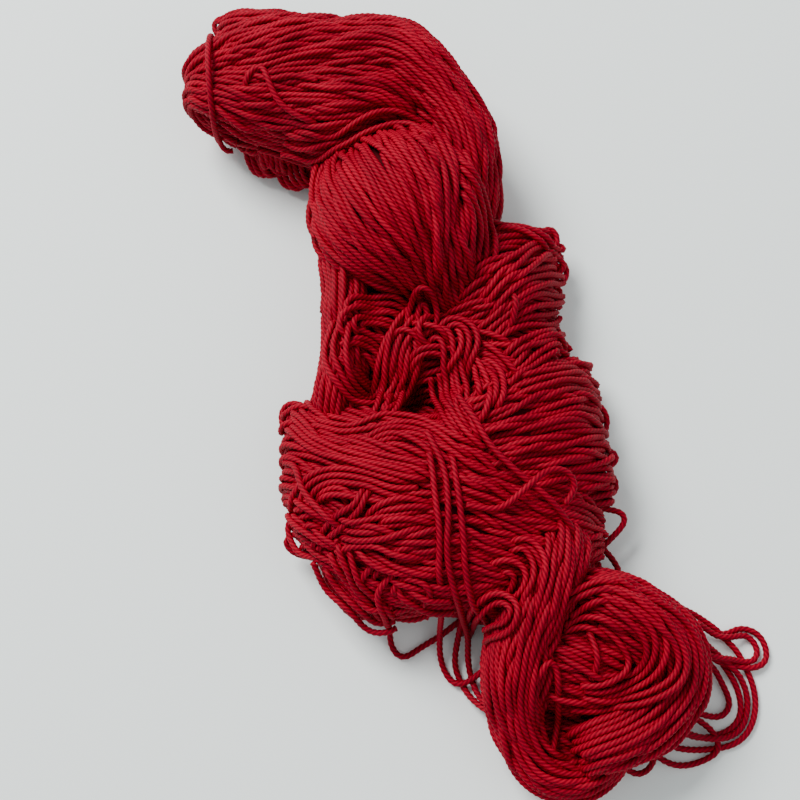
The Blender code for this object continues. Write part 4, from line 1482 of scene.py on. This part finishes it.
@dataclass(frozen=True)
class Studio:
    """The table, the lights and the camera.

    Attributes:
        table: Half the side of the table top, m.
        lights: A wide window light from the far left and a weak fill: name, place in m, side in m, power in W.
        room: Colour and strength of the light from all round.
        elevation: The camera's angle over the table, degrees.
        distance: From the camera to what it looks at, m.
        width: Width of the view there, m.
        height: Height over the table of what it looks at, m.
        sensor: Width of the camera's sensor, mm.
    """

    table: float = 2.0
    lights: tuple[tuple[str, tuple[float, ...], float, float], ...] = (
        ("window", (-0.85, 0.85, 1.3), 0.8, 49.0), ("fill", (1.1, -0.7, 1.4), 1.6, 5.0),
    )
    room: tuple[tuple[float, ...], float] = ((0.915, 0.975, 1.0, 1.0), 0.60)
    elevation: float = 74.0
    distance: float = 0.50
    width: float = 0.288
    height: float = 0.020
    sensor: float = 36.0

    def floor(self, finish: bpy.types.Material) -> None:
        """Make the pale table top.

        Args:
            finish: Its material.
        """
        mesh = bpy.data.meshes.new("table_top")
        near, far = -self.table, self.table
        corners = [(near, near, 0.0), (far, near, 0.0), (far, far, 0.0), (near, far, 0.0)]
        mesh.from_pydata(corners, [], [(0, 1, 2, 3)])
        mesh.materials.append(finish)
        floor = bpy.data.objects.new("table_top", mesh)
        bpy.context.scene.collection.objects.link(floor)

    def light(self) -> None:
        """Hang square soft lights that face the skein, and light the room."""
        for name, place, side, power in self.lights:
            data = bpy.data.lights.new(name, "AREA")
            data.size = side
            data.energy = power
            light = bpy.data.objects.new(name, data)
            light.location = place
            light.rotation_euler = (-Vector(place)).to_track_quat("-Z", "Y").to_euler()
            bpy.context.scene.collection.objects.link(light)
        world = bpy.data.worlds.new("room")
        world.use_nodes = True
        background = world.node_tree.nodes["Background"]
        background.inputs["Color"].default_value, background.inputs["Strength"].default_value = self.room
        bpy.context.scene.world = world

    def camera(self) -> None:
        """Set up the camera, nearly overhead."""
        data = bpy.data.cameras.new("camera")
        data.sensor_width = self.sensor
        data.lens = self.sensor * self.distance / self.width
        data.clip_start = 0.01
        camera = bpy.data.objects.new("camera", data)
        lift = math.radians(self.elevation)
        back = Vector((0.0, -math.cos(lift), math.sin(lift)))
        x, y = ORIGIN_IN_LAYOUT
        camera.location = Vector((-x * MM, -y * MM, self.height)) + back * self.distance
        camera.rotation_euler = back.to_track_quat("Z", "Y").to_euler()
        bpy.context.scene.collection.objects.link(camera)
        bpy.context.scene.camera = camera


def dress(piece: bpy.types.Object, replaces: str) -> None:
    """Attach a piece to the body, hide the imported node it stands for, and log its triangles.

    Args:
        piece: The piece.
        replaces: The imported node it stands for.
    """
    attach(piece, BODY)
    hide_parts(replaces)
    triangles = len(piece.data.loops) - 2 * len(piece.data.polygons)
    LOG.info("%s: %d triangles", piece.name, triangles)


def main() -> None:
    """Build the skein, its table and its light."""
    logging.basicConfig(level=logging.INFO, format="%(message)s")
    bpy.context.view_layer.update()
    materials = Materials()
    yarn = {YARN_SLOT: materials.make(YARN_SLOT, CRIMSON), TIE_SLOT: materials.make(TIE_SLOT, TIE_CRIMSON)}
    skein = Skein()
    strands = skein.wind()
    for fold in Fold:
        own = [strand for strand in strands if strand.fold is fold]
        node, slot = ("yarn_tie", TIE_SLOT) if fold is Fold.TIE else ("yarn_hank", YARN_SLOT)
        dress(FourPly().build(fold.value, own, yarn[slot]), node)
    # The core gets a dark colour that is painted shade in the gaps between strands.
    deep = materials.make("crimson_cotton_painted_shade", CORE_PAINTED_SHADE)
    dress(Core().build("yarn_core", skein.shapes, deep), "yarn_hank")
    studio = Studio()
    studio.floor(materials.make("table_paint", TABLE_PAINT))
    studio.light()
    studio.camera()


if __name__ == "__main__":
    main()
